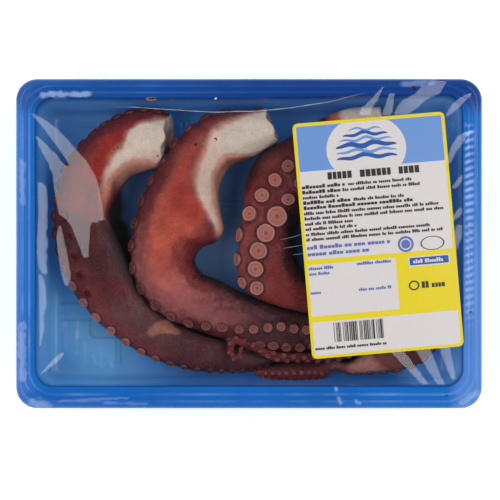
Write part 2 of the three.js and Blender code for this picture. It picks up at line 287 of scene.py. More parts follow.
# %% Floor
floor_material, tree, output = new_material("pale_floor")
floor_shade = use_group(tree, mottle_group, Size=40.0, Strength=0.03)
FLOOR_GREY = (0.93, 0.93, 0.93, 1)
FLOOR_HALF = 6
floor_bsdf = node(tree, "BsdfPrincipled", {
    "Base Color": shaded(tree, FLOOR_GREY, floor_shade.outputs["Shade"]), "Roughness": 0.7,
    "Emission Color": (1, 1, 1, 1), "Emission Strength": 0.45})
tree.links.new(floor_bsdf.outputs[0], output.inputs["Surface"])
floor_mesh = bpy.data.meshes.new("floor")
floor_corners = [(FLOOR_HALF * i, FLOOR_HALF * j, 0) for i, j in ((-1, -1), (1, -1), (1, 1), (-1, 1))]
floor_mesh.from_pydata(floor_corners, [], [(0, 1, 2, 3)])
floor_mesh.materials.append(floor_material)
floor = bpy.data.objects.new("floor", floor_mesh)
bpy.context.scene.collection.objects.link(floor)

# %% [markdown]
# ## The tray
#
# The real tray is one sheet of blue plastic, sucked hot into a mould. Its section is a
# single line: floor, leaning wall, a flat land for the film, a groove, and a lip turned
# down. Sweeping that line round a rounded rectangle gives the tray. Box modelling with a
# bevel would do too, but the section is how such a tray is drawn by its maker.

# %% Tray sizes
TRAY = {"half_length": 104.5, "half_width": 71, "corner": 8.5, "height": 34, "draft": 3.6, "wall": 0.8}
LAND, GROOVE, GROOVE_DEPTH, LIP, LIP_DROP, FOOT = 3.6, 2.4, 0.9, 4, 4.2, 4
PANEL_INSET, PANEL_RISE, PANEL_RAMP = 12, 0.6, 1.6
MOUTH, GROOVE_EDGE = 0.9, 0.6  # roundings where the wall meets the land and the groove meets the lip
CORNER_GROWTH = 0.2
GAP = 0.3


def ring(offset, z, corner_steps, side_steps):
    """A rounded rectangle this far outside the tray's opening: straight runs and quarter circles."""
    growth = CORNER_GROWTH if offset > 0 else 1
    radius = max(TRAY["corner"] + offset * growth, 1.5)
    centre = np.array([TRAY["half_length"], TRAY["half_width"]]) + offset - radius
    signs = np.array([[1, 1], [-1, 1], [-1, -1], [1, -1]])
    points = []
    for corner in range(4):
        angle = (corner + np.linspace(0, 1, corner_steps + 1)) * np.pi / 2
        arc = centre * signs[corner] + radius * np.stack([np.cos(angle), np.sin(angle)], -1)
        turn = (corner + 1) * np.pi / 2
        start = centre * signs[(corner + 1) % 4] + radius * np.array([np.cos(turn), np.sin(turn)])
        part = np.linspace(0, 1, side_steps + 1)[1:-1, None]
        points += [arc, arc[-1] * (1 - part) + start * part]
    flat = np.concatenate(points)
    return np.column_stack([flat, np.full(len(flat), z)])


# %% Tray section
def tray_section():
    """Offset and height down the inside of the sheet: floor panel, foot, wall, land, groove and lip."""
    floor_z, top, draft = TRAY["wall"], TRAY["height"], TRAY["draft"]
    turn = np.radians(np.linspace(-90, -8, 7))
    foot = np.column_stack([-draft - FOOT + FOOT * np.cos(turn), floor_z + FOOT + FOOT * np.sin(turn)])
    roll = np.radians(np.linspace(180, 90, 6))
    mouth = np.column_stack([MOUTH + MOUTH * np.cos(roll), top - MOUTH + MOUTH * np.sin(roll)])
    wave = np.linspace(0, np.pi, 7)
    groove = np.column_stack([LAND + GROOVE * wave / np.pi, top - GROOVE_DEPTH * np.sin(wave)])
    lip_start = LAND + GROOVE
    bend = np.radians(np.linspace(90, 8, 8))
    lip = np.column_stack([
        lip_start + GROOVE_EDGE + (LIP - GROOVE_EDGE) * np.cos(bend),
        top - LIP_DROP + LIP_DROP * np.sin(bend)])
    land = np.column_stack([np.linspace(MOUTH, LAND, 7)[1:-1], np.full(5, top)])
    edge = -draft - PANEL_INSET
    panel = [[offset, floor_z + PANEL_RISE] for offset in np.linspace(-62, edge - PANEL_RAMP, 9)]
    panel += [[edge, floor_z], [-draft - 8, floor_z]]
    steps = np.linspace(0, 1, 9)[1:-1, None]
    wall = foot[-1] * (1 - steps) + mouth[0] * steps
    return np.concatenate([panel, foot, wall, mouth, land, groove, lip])


section = tray_section()
ahead = np.gradient(section, axis=0)
ahead /= np.linalg.norm(ahead, axis=1, keepdims=True)
outer_section = section + TRAY["wall"] * np.column_stack([ahead[:, 1], -ahead[:, 0]])
outer_section[:, 1] = np.maximum(outer_section[:, 1], 0)
print("tray section has", len(section), "points")

# %% Tray sheet
CORNER_STEPS, SIDE_STEPS = 14, 150
loops = [ring(offset, z, CORNER_STEPS, SIDE_STEPS) for offset, z in section]
loops += [ring(offset, z, CORNER_STEPS, SIDE_STEPS) for offset, z in outer_section[::-1]]
around = len(loops[0])
tray_points = np.concatenate(loops)
SERRATION = 0.12
rim_edge = (len(section) - 1) * around
for loop in (rim_edge, rim_edge + around):
    edge = tray_points[loop:loop + around, :2]
    tooth = SERRATION * (np.sin(np.arange(around) * 1.9) - 1)
    edge += edge / np.linalg.norm(edge, axis=1, keepdims=True) * tooth[:, None]
lean = noise(tray_points, 30, 3)[:, None] * [0, 0, 0.25]
tray_points += lean * rise((tray_points[:, 2:3] - 2) / 20)
tray_points = np.vstack([tray_points, tray_points[:around].mean(0), tray_points[-around:].mean(0)])
tray_faces = [face[::-1] for face in closed_rings(len(loops), around)]

# %% [markdown]
# The sheet is glossy, and its light and shade are partly painted on the points with a few
# smooth steps: painted shade along the upper rim and in a line at the opening, painted
# light and reflection that make the right side, the left lip and parts of the floor paler,
# painted highlights on the groove's crests and pale painted glints of the film on the rim.
# The material adds fine cloudiness. The blue also has a painted glow, which stands in for
# daylight through the thin walls and the rim.

# %% Blue of the sheet, with painted light and shade
RIM_BLUE, SHADED_RIM_BLUE, SHADOW_LINE_BLUE = colour(16, 108, 190), colour(4, 48, 124), colour(14, 50, 116)
FLOOR_BLUE, PAINTED_LIGHT_BLUE, SHADE_BLUE = colour(80, 124, 176), colour(116, 176, 216), colour(78, 108, 152)
GLINT_BLUE = colour(176, 196, 232)
# painted glow: emission that stands in for daylight through the thin sheet
PAINTED_GLOW = np.array([0.003, 0.035, 0.135])


def from_opening(x, y):
    """Distance from the outline of the tray's opening, negative inside; its corners are quarter circles."""
    corner = TRAY["corner"]
    qx, qy = np.abs(x) - TRAY["half_length"] + corner, np.abs(y) - TRAY["half_width"] + corner
    return np.hypot(np.maximum(qx, 0), np.maximum(qy, 0)) + np.minimum(np.maximum(qx, qy), 0) - corner


def line_distance(x, y, line):
    """Distance from each point to a straight line between two ends."""
    x0, y0, x1, y1 = line
    ux, uy = x1 - x0, y1 - y0
    part = np.clip(((x - x0) * ux + (y - y0) * uy) / (ux * ux + uy * uy), 0, 1)
    return np.hypot(x - x0 - part * ux, y - y0 - part * uy)


# pale painted glints of the film on the rim: start x, start y, end x, end y, half width, strength
RIM_GLINTS = [
    [-101, 73, -78, 73, 1, 0.7], [-95, 71, -90, 71, 0.8, 0.6], [-111, -40, -111, -66, 1.4, 0.5],
    [-111, 20, -111, 40, 1, 0.4], [-105, -78, -100, -79, 2, 0.5], [-93, -77, -60, -75.5, 0.4, 0.3],
    [-70, -78, -50, -78.5, 0.5, 0.25], [40.6, -69.5, 43, -72.2, 0.45, 0.8],
    [43.8, -75.6, 45.3, -78, 0.45, 0.7], [51.6, -76.6, 54, -78.2, 0.45, 0.7],
    [104.5, -77.8, 110.5, -73.5, 1.5, 0.45], [76, 78, 90, 79, 1, 0.4],
]
LADDER_X = 107.8


def opening_shadow(away, z):
    """A painted shadow line where the film stops lying on the rim, 1 on it and 0 a millimetre away."""
    return np.exp(-(((away - 0.2) / 0.35) ** 2)) * rise((z - 30) / 2)


def rim_tone(points, rim_shade):
    """Blue of the rim: painted shade where it is asked for, and painted reflection that makes it pale down
    the right side and on the left lip.
    """
    x, y, _ = points.T
    rim = lay(RIM_BLUE, SHADED_RIM_BLUE, rim_shade)
    # painted reflection: paler down the right side, and on the left lip below
    rim = lay(rim, colour(96, 146, 212), 0.8 * rise((x - 96) / 8) * rise((60 - y) / 100))
    lip = rise((from_opening(x, y) - 6.5) / 2) * rise((-x - 60) / 50) * (1 - rim_shade)
    return lay(rim, colour(104, 144, 206), 0.36 * lip)


def bowl_tone(points):
    """Blue of floor and walls: painted light at the lower left, the upper left, the right and a bay in the
    middle, and painted shade under the food.
    """
    x, y, _ = points.T
    pale = rise((-x - 25) / 60) * rise((30 - y) / 70)
    base = lay(FLOOR_BLUE, PAINTED_LIGHT_BLUE, pale)
    base = lay(base, SHADE_BLUE, rise((-from_opening(x, y) - 16) / 22) * (1 - 0.7 * pale))
    base = lay(base, colour(150, 196, 232), 0.85 * rise((x - 72) / 14))
    base = lay(base, colour(120, 150, 184), 0.6 * np.exp(-(((x + 14) / 14) ** 2) - ((y - 2) / 18) ** 2))
    return lay(base, colour(104, 154, 198), 0.85 * rise((-x - 40) / 40) * rise((y - 15) / 30))


def painted_rim_glints(points):
    """Painted glints of the film on the rim: a ladder of pale dashes down the right side, where the seal's
    crimp is painted as reflection, and frayed patches.
    """
    x, y, _ = points.T
    ladder = rise((np.sin(y * 1.8 - x * 0.6 + noise(points, 7, 9)) + 0.1) / 0.7)
    ladder *= np.exp(-(((x - LADDER_X) / 2.2) ** 4))
    marks = 0.95 * ladder * rise((y + 45) / 20) * rise((62 - y) / 10)
    for *line, half, strength in RIM_GLINTS:
        gone = line_distance(x, y, line) / half + 0.8 * noise(points, 1.6, 12)
        marks = np.maximum(marks, strength * rise(1.7 - gone))
    return marks


def sheet_tone(points):
    """Blue by place: bowl and rim run into each other, then painted glints, painted highlights on the
    crests and a painted shadow line at the opening.
    """
    points = np.asarray(points)
    x, y, z = points.T
    away, on_rim = from_opening(x, y), rise((z - 30) / 2)
    # painted shade along the upper rim, and a little along the lower right rim
    rim_shade = rise((y - 60) / 12) * (0.65 + 0.35 * rise((x + 90) / 120))
    rim_shade = np.maximum(rim_shade, 0.3 * rise((-y - 70) / 4) * rise((70 - x) / 30))
    tone = lay(bowl_tone(points), rim_tone(points, rim_shade), rise((z - 24) / 9))
    tone = lay(tone, GLINT_BLUE, painted_rim_glints(points) * on_rim)
    # painted highlights along the two crests of the groove
    crest_highlights = np.exp(-(((away - 2.9) / 0.35) ** 2)) + np.exp(-(((away - 6.2) / 0.35) ** 2))
    crest_highlights *= (0.3 + 0.3 * noise(points, 9, 14)) * (1 - 0.85 * rim_shade) * on_rim
    tone = lay(tone, GLINT_BLUE, np.maximum(crest_highlights, 0))
    tone = lay(tone, SHADOW_LINE_BLUE, 0.75 * opening_shadow(away, z))
    cloud = noise(points, 26, 5) * 0.06 + noise(points * [1, 0.3, 1], 6, 6) * 0.05
    return tone * (1 + cloud)[:, None]


def painted_sheet_glow(points):
    """Painted glow that stands in for light through the sheet: full at the rim and the walls, little under
    the food.
    """
    x, y, z = np.asarray(points).T
    away = from_opening(x, y)
    through = (0.25 + 0.75 * rise((away + 34) / 26)) * (1 - 0.6 * opening_shadow(away, z))
    through *= 1 + 0.3 * rise((x - 70) / 14) * rise(-away / 3)
    through *= (0.6 + 0.4 * rise((z - 2) / 26)) * (1 - 0.3 * rise((y - 62) / 8))
    return PAINTED_GLOW * through[:, None]


# %% Tray plastic
tray_material, tree, output = new_material("blue_formed_plastic")
sheet_paint = node(tree, "Attribute", attribute_name="tone").outputs["Color"]
grain = use_group(tree, mottle_group, Size=1.6, Strength=0.14)
rough = node(tree, "MapRange", {"Value": grain.outputs["Height"], "To Min": 0.1, "To Max": 0.22})
relief = node(tree, "Bump", {"Height": grain.outputs["Height"], "Strength": 0.1, "Distance": 0.0002})
# the emission is the painted glow read from the points; the tray is no lamp
tray_bsdf = node(tree, "BsdfPrincipled", {
    "Base Color": shaded(tree, sheet_paint, grain.outputs["Shade"]),
    "Roughness": rough.outputs["Result"], "Normal": relief.outputs["Normal"],
    "IOR": 1.45, "Specular IOR Level": 0.35, "Emission Strength": 1.0,
    "Emission Color": node(tree, "Attribute", attribute_name="painted_glow").outputs["Color"]})
tree.links.new(tray_bsdf.outputs[0], output.inputs["Surface"])

# %% [markdown]
# The opening of this tray is a little askew: formed sheet shrinks unevenly as it cools. So
# the finished points are moved, most at the rim, after their colours are worked out. The
# outer side lets no light from inside through and is nearer the plain blue.

# %% Make the tray
OPENING_SHIFT = {"near": 1.3, "far": 1.6}
tray_tone, painted_tray_glow = sheet_tone(tray_points), painted_sheet_glow(tray_points)
outside = np.arange(len(tray_points)) >= len(section) * around
tray_tone = lay(tray_tone, RIM_BLUE, 0.6 * outside)
x, y, z = tray_points.T
shift = OPENING_SHIFT["near"] * rise((-y - 50) / 12)
shift += OPENING_SHIFT["far"] * rise((y - 50) / 12) * rise((x + 20) / 120)
tray_points[:, 1] += shift * z / TRAY["height"] * rise((3.2 - from_opening(x, y)) / 3)
make_piece("tray_sheet", tray_points, tray_faces, [tray_material], ["tray"],
           {"tone": tray_tone, "painted_glow": painted_tray_glow})

# %% [markdown]
# The tray's floor is pressed with shallow ribs. They are drawn as short lines, and each
# lifts the floor by a low round ridge. A little condensed water has run down the sheet in
# pale streaks, and painted shade lies dark on the floor under the arms' edges and tips.

# %% Ribs, streaks and lines of painted shade on the tray's floor: start x, start y, end x, end y
RIBS = [[-96, -29.5, -84, -29.5], [-93.5, -38.2, -81.2, -38.2], [-81.2, -38.2, -81.2, -45],
        [-81.2, -45, -79, -47.2], [-79, -47.2, -60, -47.2], [-67.7, -47.2, -67.7, -60],
        [-65.4, -47.2, -65.4, -60], [-33.7, 66, -33.7, 52], [-30.6, 66, -30.6, 52],
        [-20, 22.4, 6, 22.4], [-20, 19.6, 6, 19.6], [-20, 14.9, 6, 14.9], [-86, 60, -60, 60]]
STREAKS = [[-93.5, -39, -93.5, -52], [-95, -36, -95, -44], [-87.3, -38, -87.3, -47],
           [-79.5, -56, -77.5, -61], [-75.5, -52, -75.5, -62], [-71, -56, -69.5, -64],
           [-88, -44, -88, -55], [-84, -50, -83.5, -60], [-31.5, 66, -31.5, 56], [-34.5, 64, -34.5, 57]]
SHADE_LINES = [[-73, 30, -70, 10], [-70, 10, -62, -12], [-62, -12, -57, -14], [-57, -14, -45, -34],
         [-45, -34, -21, -45], [-21, -45, 12, -53], [12, -53, 40, -55], [14, -60, 50, -60]]
PANEL_HALF, PANEL_STEPS = (97.5, 64), (245, 161)
RIB_WIDTH, STREAK_WIDTH, SHADE_REACH, SHADE_EDGE = 0.5, 0.6, 9, 4


def closed_sheet(top, thickness):
    """A thin closed shell: a grid of points, a copy lower down, and a strip round the edge."""
    rows, columns = top.shape[:2]
    lower = top - [0, 0, thickness]
    count = rows * columns
    upper_faces = grid_faces(rows, columns)
    number = np.arange(count).reshape(rows, columns)
    edge = np.concatenate([number[0, :-1], number[:-1, -1], number[-1, :0:-1], number[:0:-1, 0]])
    ahead = np.roll(edge, -1)
    strip = np.column_stack([edge, edge + count, ahead + count, ahead])
    faces = np.concatenate([upper_faces, upper_faces[:, ::-1] + count, strip])
    return np.concatenate([top.reshape(-1, 3), lower.reshape(-1, 3)]), faces.tolist()


def join_sheets(sheets, thickness=0.04):
    """Several thin closed shells as one set of points and faces."""
    points, faces, start = [], [], 0
    for sheet in sheets:
        some, some_faces = closed_sheet(sheet, thickness)
        points.append(some)
        faces += (np.array(some_faces) + start).tolist()
        start += len(some)
    return np.concatenate(points), faces


def line_ridges(x, y, lines, half):
    """Round ridges from 0 to 1 along several lines."""
    return np.minimum(sum(np.exp(-(line_distance(x, y, line) / half) ** 2) for line in lines), 1)


# %% Make the tray's floor
floor_x, floor_y = np.meshgrid(*[np.linspace(-half, half, n) for half, n in zip(PANEL_HALF, PANEL_STEPS)])
ribs = line_ridges(floor_x, floor_y, RIBS, RIB_WIDTH)
border = np.minimum(PANEL_HALF[0] - np.abs(floor_x), PANEL_HALF[1] - np.abs(floor_y))
floor_z = TRAY["wall"] - 0.1 + (0.14 + PANEL_RISE) * rise(border / 6) + 0.3 * ribs * rise(border / 4)
floor_grid = np.stack([floor_x, floor_y, floor_z], -1)
wet = line_ridges(floor_x, floor_y, STREAKS, STREAK_WIDTH) * (0.5 + 0.5 * noise(floor_grid, 3, 8))
from_shade_line = np.min([line_distance(floor_x, floor_y, line) for line in SHADE_LINES], axis=0)
painted_shade = rise((SHADE_REACH - from_shade_line - 2 * noise(floor_grid, 6, 15)) / SHADE_EDGE)
panel_points, panel_faces = closed_sheet(floor_grid, 0.05)
wet, ribs, painted_shade = (np.tile(mask.ravel(), 2) for mask in (wet, ribs, painted_shade))
panel_tone = lay(sheet_tone(panel_points), colour(186, 210, 230), 0.7 * wet)
# painted shade: dark on the floor along the shade lines, where the glow is taken away too
panel_tone = lay(panel_tone * (1 - 0.3 * ribs)[:, None], colour(44, 37, 39), painted_shade)
make_piece("tray_floor", panel_points, panel_faces, [tray_material],
           attributes={"tone": panel_tone, "painted_glow": painted_sheet_glow(panel_points) * (1 - painted_shade)[:, None]})

# %% [markdown]
# ## The arms
#
# An octopus arm is a tapering tube with a flatter sucker side, so it is a loft: at each
# station along the arm two edge points and two heights are known, and a smooth curve runs
# through each of them. The section between them is a rounded square, which is fuller than
# an ellipse, as boiled flesh is. The tables are the arms' own, nearly the same as in the solids.

# %% Stations: outer x, outer y, inner x, inner y, low, high
LEFT_ARM = [
    [-40, 66, -45.5, 38.5, 2, 24], [-55, 67, -53, 36.5, 1.7, 27], [-69, 62, -60, 33.5, 1.7, 28],
    [-81, 52.5, -66.5, 24, 1.7, 30], [-92, 38, -69.5, 13.5, 1.7, 30], [-97, 20, -67, 5, 1.7, 29],
    [-97, 3, -63.5, -3.5, 1.7, 27], [-91, -18, -59, -13, 1.7, 23.5], [-77, -38, -52, -26, 1.7, 20],
    [-56, -54, -42, -35.5, 1.7, 17.5], [-32, -62.5, -26.5, -44, 1.7, 14.5], [-6, -64.2, -6, -50, 1.7, 10.5],
    [8, -62, 8, -54.5, 1.7, 6.5], [14, -59, 13, -57, 2.2, 5],
]
MIDDLE_ARM = [
    [7, 68.2, 14, 50.5, 3, 29], [-9, 66.5, -0.5, 42, 1.7, 32], [-22, 63, -10, 38, 1.7, 32],
    [-34.5, 53.5, -14.5, 29, 1.7, 31], [-45, 39, -14, 18, 1.7, 29.5], [-53, 24, -12.5, 7.5, 2, 28],
    [-57, 12, -16, 2, 3, 27.5], [-58.8, 1, -24, -1.5, 4, 27], [-58.5, -11, -27, -8, 5, 26.5],
    [-53.5, -24, -23.5, -14, 6, 25.5], [-41, -36.5, -14.5, -18.5, 6, 23.5],
    [-20.5, -44.5, -1.5, -25, 4, 20.5], [3, -51, 12, -29, 2, 18], [22, -53.8, 25, -32, 2, 16],
    [36, -51.5, 35, -35.5, 2, 14.5], [44, -51.4, 47, -39, 3, 13.5], [47, -52.2, 54.5, -46.5, 5, 13],
    [46, -53, 53, -55, 7, 13.5],
    [42, -53.8, 43, -58.6, 8.5, 14], [28.7, -54.4, 28.7, -58.8, 9, 13.7], [13, -53.8, 12, -58.5, 9, 13.7],
    [4.4, -50.2, 1.4, -53.2, 11, 15.5],
]
CURLED_ARM = [
    [65, 69, 67, 38, 9, 29], [48, 67.6, 54, 28.5, 5, 31], [31, 60, 39.5, 20, 3, 31],
    [15.5, 51, 28.5, 14.5, 3, 31], [3.8, 43.4, 25, 10, 3, 30], [-1.3, 31.2, 23.7, 5.5, 3, 29],
    [-3, 17.5, 23.6, 1.2, 3, 28], [-4.7, 3.5, 24.5, -3.5, 3, 27.5], [-6, -8, 25, -8, 4, 27],
    [-4.5, -19, 27, -12, 7.5, 27], [2.5, -26.2, 30, -16, 12, 27], [14, -30.3, 35.5, -20, 16, 27],
    [28, -33.8, 42.5, -24.8, 17.5, 26.5], [39, -35, 46.5, -29.5, 18, 25],
    [45.7, -34.2, 48.2, -32.2, 20, 23],
]
RIGHT_ARM = [
    [94, 52.5, 72, 47.5, 2, 26], [97.5, 28, 73.5, 25, 1.7, 28], [98.8, 0, 74, 2, 1.7, 27],
    [99, -25, 72.5, -15, 1.7, 24.5], [96.5, -45, 69, -30, 1.7, 21.5], [89, -57.5, 64.5, -41, 1.7, 19],
    [76, -63.2, 60, -49.5, 1.7, 16], [62, -64.6, 56, -55, 1.7, 14], [51, -65, 50, -58.9, 1.7, 11],
    [43.7, -63.5, 43.7, -58, 1.7, 8.5], [37, -67.4, 36.5, -58.8, 4, 12],
    [25.8, -68.2, 25.3, -59.4, 7, 16.5],
    [11.5, -67.9, 12, -60.6, 8, 15], [2, -65.8, 3.5, -62.9, 9, 12],
]
CURL = {"centre": (-6.2, -52.8), "radii": (3.3, 5.2), "turn": (55, 385), "steps": 7,
        "wind": (1, 0.65), "half": (2.1, 1.2), "low": (13.6, 14.5), "high": (18, 16.5)}


def curl_stations():
    """Stations of the thin tip that winds inwards round an oval: cosine across, sine along."""
    part = np.linspace(0, 1, CURL["steps"])
    mix = lambda key: CURL[key][0] + (CURL[key][1] - CURL[key][0]) * part
    angle = np.radians(mix("turn"))
    columns = []
    for side in (1, -1):
        for centre, radius, turned in zip(CURL["centre"], CURL["radii"], (np.cos(angle), np.sin(angle))):
            columns.append(centre + (radius * mix("wind") + side * mix("half")) * turned)
    return np.column_stack([*columns, mix("low"), mix("high")]).tolist()


# %% Smooth curves and the arm's surface
def smooth_curve(points, t):
    """A curve through all the points, t from 0 to 1 with equal shares for each span.

    Each span is a cubic. Its end slopes come from the points on either side, weighed by the
    square root of their distances, which keeps the curve from looping.
    """
    points = np.asarray(points, dtype=float)
    t = np.asarray(t, dtype=float)
    padded = np.vstack([2 * points[0] - points[1], points, 2 * points[-1] - points[-2]])
    place = np.clip(t.ravel(), 0, 1) * (len(points) - 1)
    span = np.minimum(place.astype(int), len(points) - 2)
    w = (place - span)[:, None]
    p0, p1, p2, p3 = (padded[span + k] for k in range(4))
    root = lambda a, b: np.sqrt(np.linalg.norm(b - a, axis=1))[:, None]
    d0, d1, d2 = root(p0, p1), root(p1, p2), root(p2, p3)
    leave = ((p1 - p0) / d0 - (p2 - p0) / (d0 + d1) + (p2 - p1) / d1) * d1
    arrive = ((p2 - p1) / d1 - (p3 - p1) / (d1 + d2) + (p3 - p2) / d2) * d1
    cubic = p1 + leave * w + (3 * (p2 - p1) - 2 * leave - arrive) * w**2
    cubic += (2 * (p1 - p2) + leave + arrive) * w**3
    return cubic.reshape(t.shape + (3,))


FULLNESS = 2 / 2.3


def arm_form(rows, t, bearing):
    """Point of the plain loft: 0 degrees is the outer edge, 90 the top and 180 the inner edge."""
    rows = np.asarray(rows, dtype=float)
    t, bearing = np.broadcast_arrays(np.asarray(t, dtype=float), np.asarray(bearing, dtype=float))
    edge = smooth_curve(rows[:, [0, 1, 4]], t)
    heel = smooth_curve(rows[:, [2, 3, 5]], t)
    bulge = lambda value: np.sign(value) * np.abs(value) ** FULLNESS
    angle = np.radians(bearing)
    middle = (edge + heel) / 2
    reach = (edge - middle) * bulge(np.cos(angle))[..., None]
    reach[..., 2] = bulge(np.sin(angle)) * (heel[..., 2] - edge[..., 2]) / 2
    return middle + reach


def arm_normal(rows, t, bearing):
    """The direction out of the loft: the cross product of its two tangents, turned away from the middle."""
    forward = arm_form(rows, t + 0.003, bearing) - arm_form(rows, t - 0.003, bearing)
    across = arm_form(rows, t, bearing + 3) - arm_form(rows, t, bearing - 3)
    normal = np.cross(forward, across)
    normal /= np.linalg.norm(normal, axis=-1, keepdims=True) + 1e-9
    outward = arm_form(rows, t, bearing) - arm_form(rows, t, np.asarray(bearing) + 180)
    return normal * np.sign((normal * outward).sum(-1, keepdims=True))


# %% [markdown]
# Suckers stand in rows. Walking along the arm, a sucker is set down each time the walk has
# covered one pitch, and tables give its radius, the pitch and its bearing round the arm.

# %% Rows of suckers
SUCKER_ROWS = {
    "left": [
        {"radii": [[0.03, 3], [0.5, 2.6], [0.66, 2.5], [0.8, 1.8], [0.97, 0.9]],
         "pitches": [[0, 6.4], [0.3, 7.4], [0.6, 9.8], [0.68, 9.2], [0.74, 7.5], [0.84, 5.5], [0.97, 3]],
         "bearings": [[0, 18], [0.46, 16], [0.55, 32], [0.64, 36], [0.74, 28], [0.86, 20], [1, 18]],
         "pale": [[0.05, -0.05], [0.5, 0], [0.56, 0.7], [0.68, 0.75], [0.74, 0.3], [0.85, 0.1]]},
        {"radii": [[0.4, 2.3], [0.5, 2.2], [0.58, 1.7]],
         "pitches": [[0.4, 10.5], [0.58, 9.5]], "bearings": [[0.4, 60], [0.48, 66], [0.54, 60], [0.58, 56]],
         "pale": [[0.4, -0.2], [0.58, -0.15]]},
    ],
    "middle": [
        {"radii": [[0.0455, 3], [0.3, 3], [0.4, 2.3], [0.52, 2.3], [0.65, 1.3], [0.97, 0.8]],
         "pitches": [[0, 8], [0.2, 11.5], [0.34, 10.4], [0.44, 6.5], [0.55, 6.5], [0.66, 5], [0.97, 4]],
         "bearings": [[0, 18], [0.3, 20], [0.37, 34], [0.405, 62], [0.44, 92], [0.55, 90], [0.68, 147],
                      [0.76, 67], [1, 47]],
         "pale": [[0.04, 0], [0.34, 0.15], [0.4, 0.25], [0.46, 0.8], [0.56, 0.8], [0.66, 0.3], [1, 0.3]]},
        {"radii": [[0.41, 2.7], [0.52, 2.4], [0.65, 1.3], [0.72, 1.2]],
         "pitches": [[0.41, 7.5], [0.44, 6.5], [0.55, 6.5], [0.66, 5]],
         "bearings": [[0.36, -23], [0.44, 41], [0.55, 41], [0.68, 93], [0.72, 53]],
         "pale": [[0.4, 0.3], [0.5, 0.4], [0.66, 0.3], [1, 0.3]]},
    ],
    "curled": [
        {"bare": 0.11,
         "radii": [[0.047, 3.2], [0.27, 3.1], [0.35, 5.2], [0.44, 4.6], [0.56, 4.2], [0.73, 3.3]],
         "pitches": [[0, 9.4], [0.27, 10.2], [0.42, 10.2], [0.5, 9.3], [0.73, 9.3]],
         "bearings": [[0.06, 78], [0.26, 109], [0.36, 103], [0.46, 86], [0.53, 75], [0.61, 69], [0.7, 50]],
         "pale": [[0.05, 0.5], [0.3, 0.9], [0.7, 1]]},
        {"bare": 0.11,
         "radii": [[0.041, 3], [0.22, 3.1], [0.43, 3.9], [0.5, 3.5], [0.66, 2.8]],
         "pitches": [[0, 9.2], [0.24, 9.3], [0.34, 9.6], [0.42, 11], [0.5, 12.8], [0.66, 11.6]],
         "bearings": [[0.05, 33], [0.22, 75], [0.27, 81], [0.35, 72], [0.43, 48], [0.5, 15], [0.66, 28]],
         "pale": [[0.05, 0.3], [0.25, 0.7], [0.35, 1], [0.66, 0.9]]},
    ],
    "right": [
        {"radii": [[0.07, 2.8], [0.5, 2.2], [0.68, 1.4], [0.97, 0.8]],
         "pitches": [[0, 9], [0.5, 7], [0.7, 3.9], [0.97, 3.4]],
         "bearings": [[0, 16], [0.68, 20], [0.8, 87], [1, 87]], "pale": [[0, 0.1], [0.7, 0.3], [1, 0.4]]},
        {"radii": [[0.73, 1.3], [0.96, 0.8]],
         "pitches": [[0.7, 3.9], [0.97, 3.4]],
         "bearings": [[0.68, -40], [0.8, 27], [1, 27]], "pale": [[0.7, 0.3], [1, 0.4]]},
    ],
}


def sucker_places(rows, row):
    """t, bearing, radius and paleness of a row's suckers: one wherever the walk has covered a pitch."""
    t = np.arange(row["radii"][0][0], row["radii"][-1][0], 0.001)
    bearing = table(row["bearings"], t)
    steps = np.linalg.norm(np.diff(arm_form(rows, t, bearing), axis=0), axis=1)
    pitch = table(row["pitches"], t)
    chosen, run = [], np.inf
    for index, step in enumerate(np.append(steps, 0)):
        if run >= pitch[index]:
            chosen.append(index)
            run = 0
        run += step
    chosen = [index for index in chosen if t[index] >= row.get("bare", 0)]
    return np.column_stack([t, bearing, table(row["radii"], t), table(row["pale"], t)])[chosen]


# %% [markdown]
# A sucker is a turned shape, so its profile is carried round a circle: a stalk, a rounded
# rim, a shallow dish with fine radial folds and a small deep cup in its middle. Real ones
# are never alike, so each is a little oval, tipped and sized by seeded random draws.

# %% Sucker profile: distance from the axis and height, in radii
SUCKER_PROFILE = np.array([
    [1.1, -0.55], [1.04, -0.2], [0.97, 0.0], [0.93, 0.14], [0.96, 0.26], [0.99, 0.36], [0.96, 0.44],
    [0.88, 0.46], [0.78, 0.42], [0.66, 0.36], [0.52, 0.33], [0.4, 0.32], [0.33, 0.36], [0.27, 0.37],
    [0.21, 0.3], [0.15, 0.22], [0.08, 0.2], [0.0, 0.21]])
# distance from the axis in radii, then the colour of a dark sucker and of a pale one
# the bright stops at 0.955 and 0.28 are painted highlights on the rim and round the cup; the dark stops at
# 0.98 and 0.2 are painted shade where the sucker meets the skin and in the cup
SUCKER_TONES = [
    (1.1, colour(74, 30, 32), colour(84, 34, 34)), (0.98, colour(54, 22, 25), colour(84, 34, 34)),
    (0.955, colour(136, 68, 64), colour(216, 160, 150)), (0.86, colour(120, 54, 54), colour(196, 126, 116)),
    (0.66, colour(92, 36, 38), colour(176, 102, 96)), (0.5, colour(102, 42, 44), colour(186, 114, 104)),
    (0.36, colour(90, 36, 38), colour(176, 104, 92)), (0.28, colour(122, 60, 54), colour(208, 142, 118)),
    (0.2, colour(60, 26, 26), colour(146, 80, 66)), (0.1, colour(54, 24, 24), colour(166, 102, 84)),
    (0.0, colour(50, 22, 22), colour(156, 92, 76))]
SUCKER_SIDES = 32


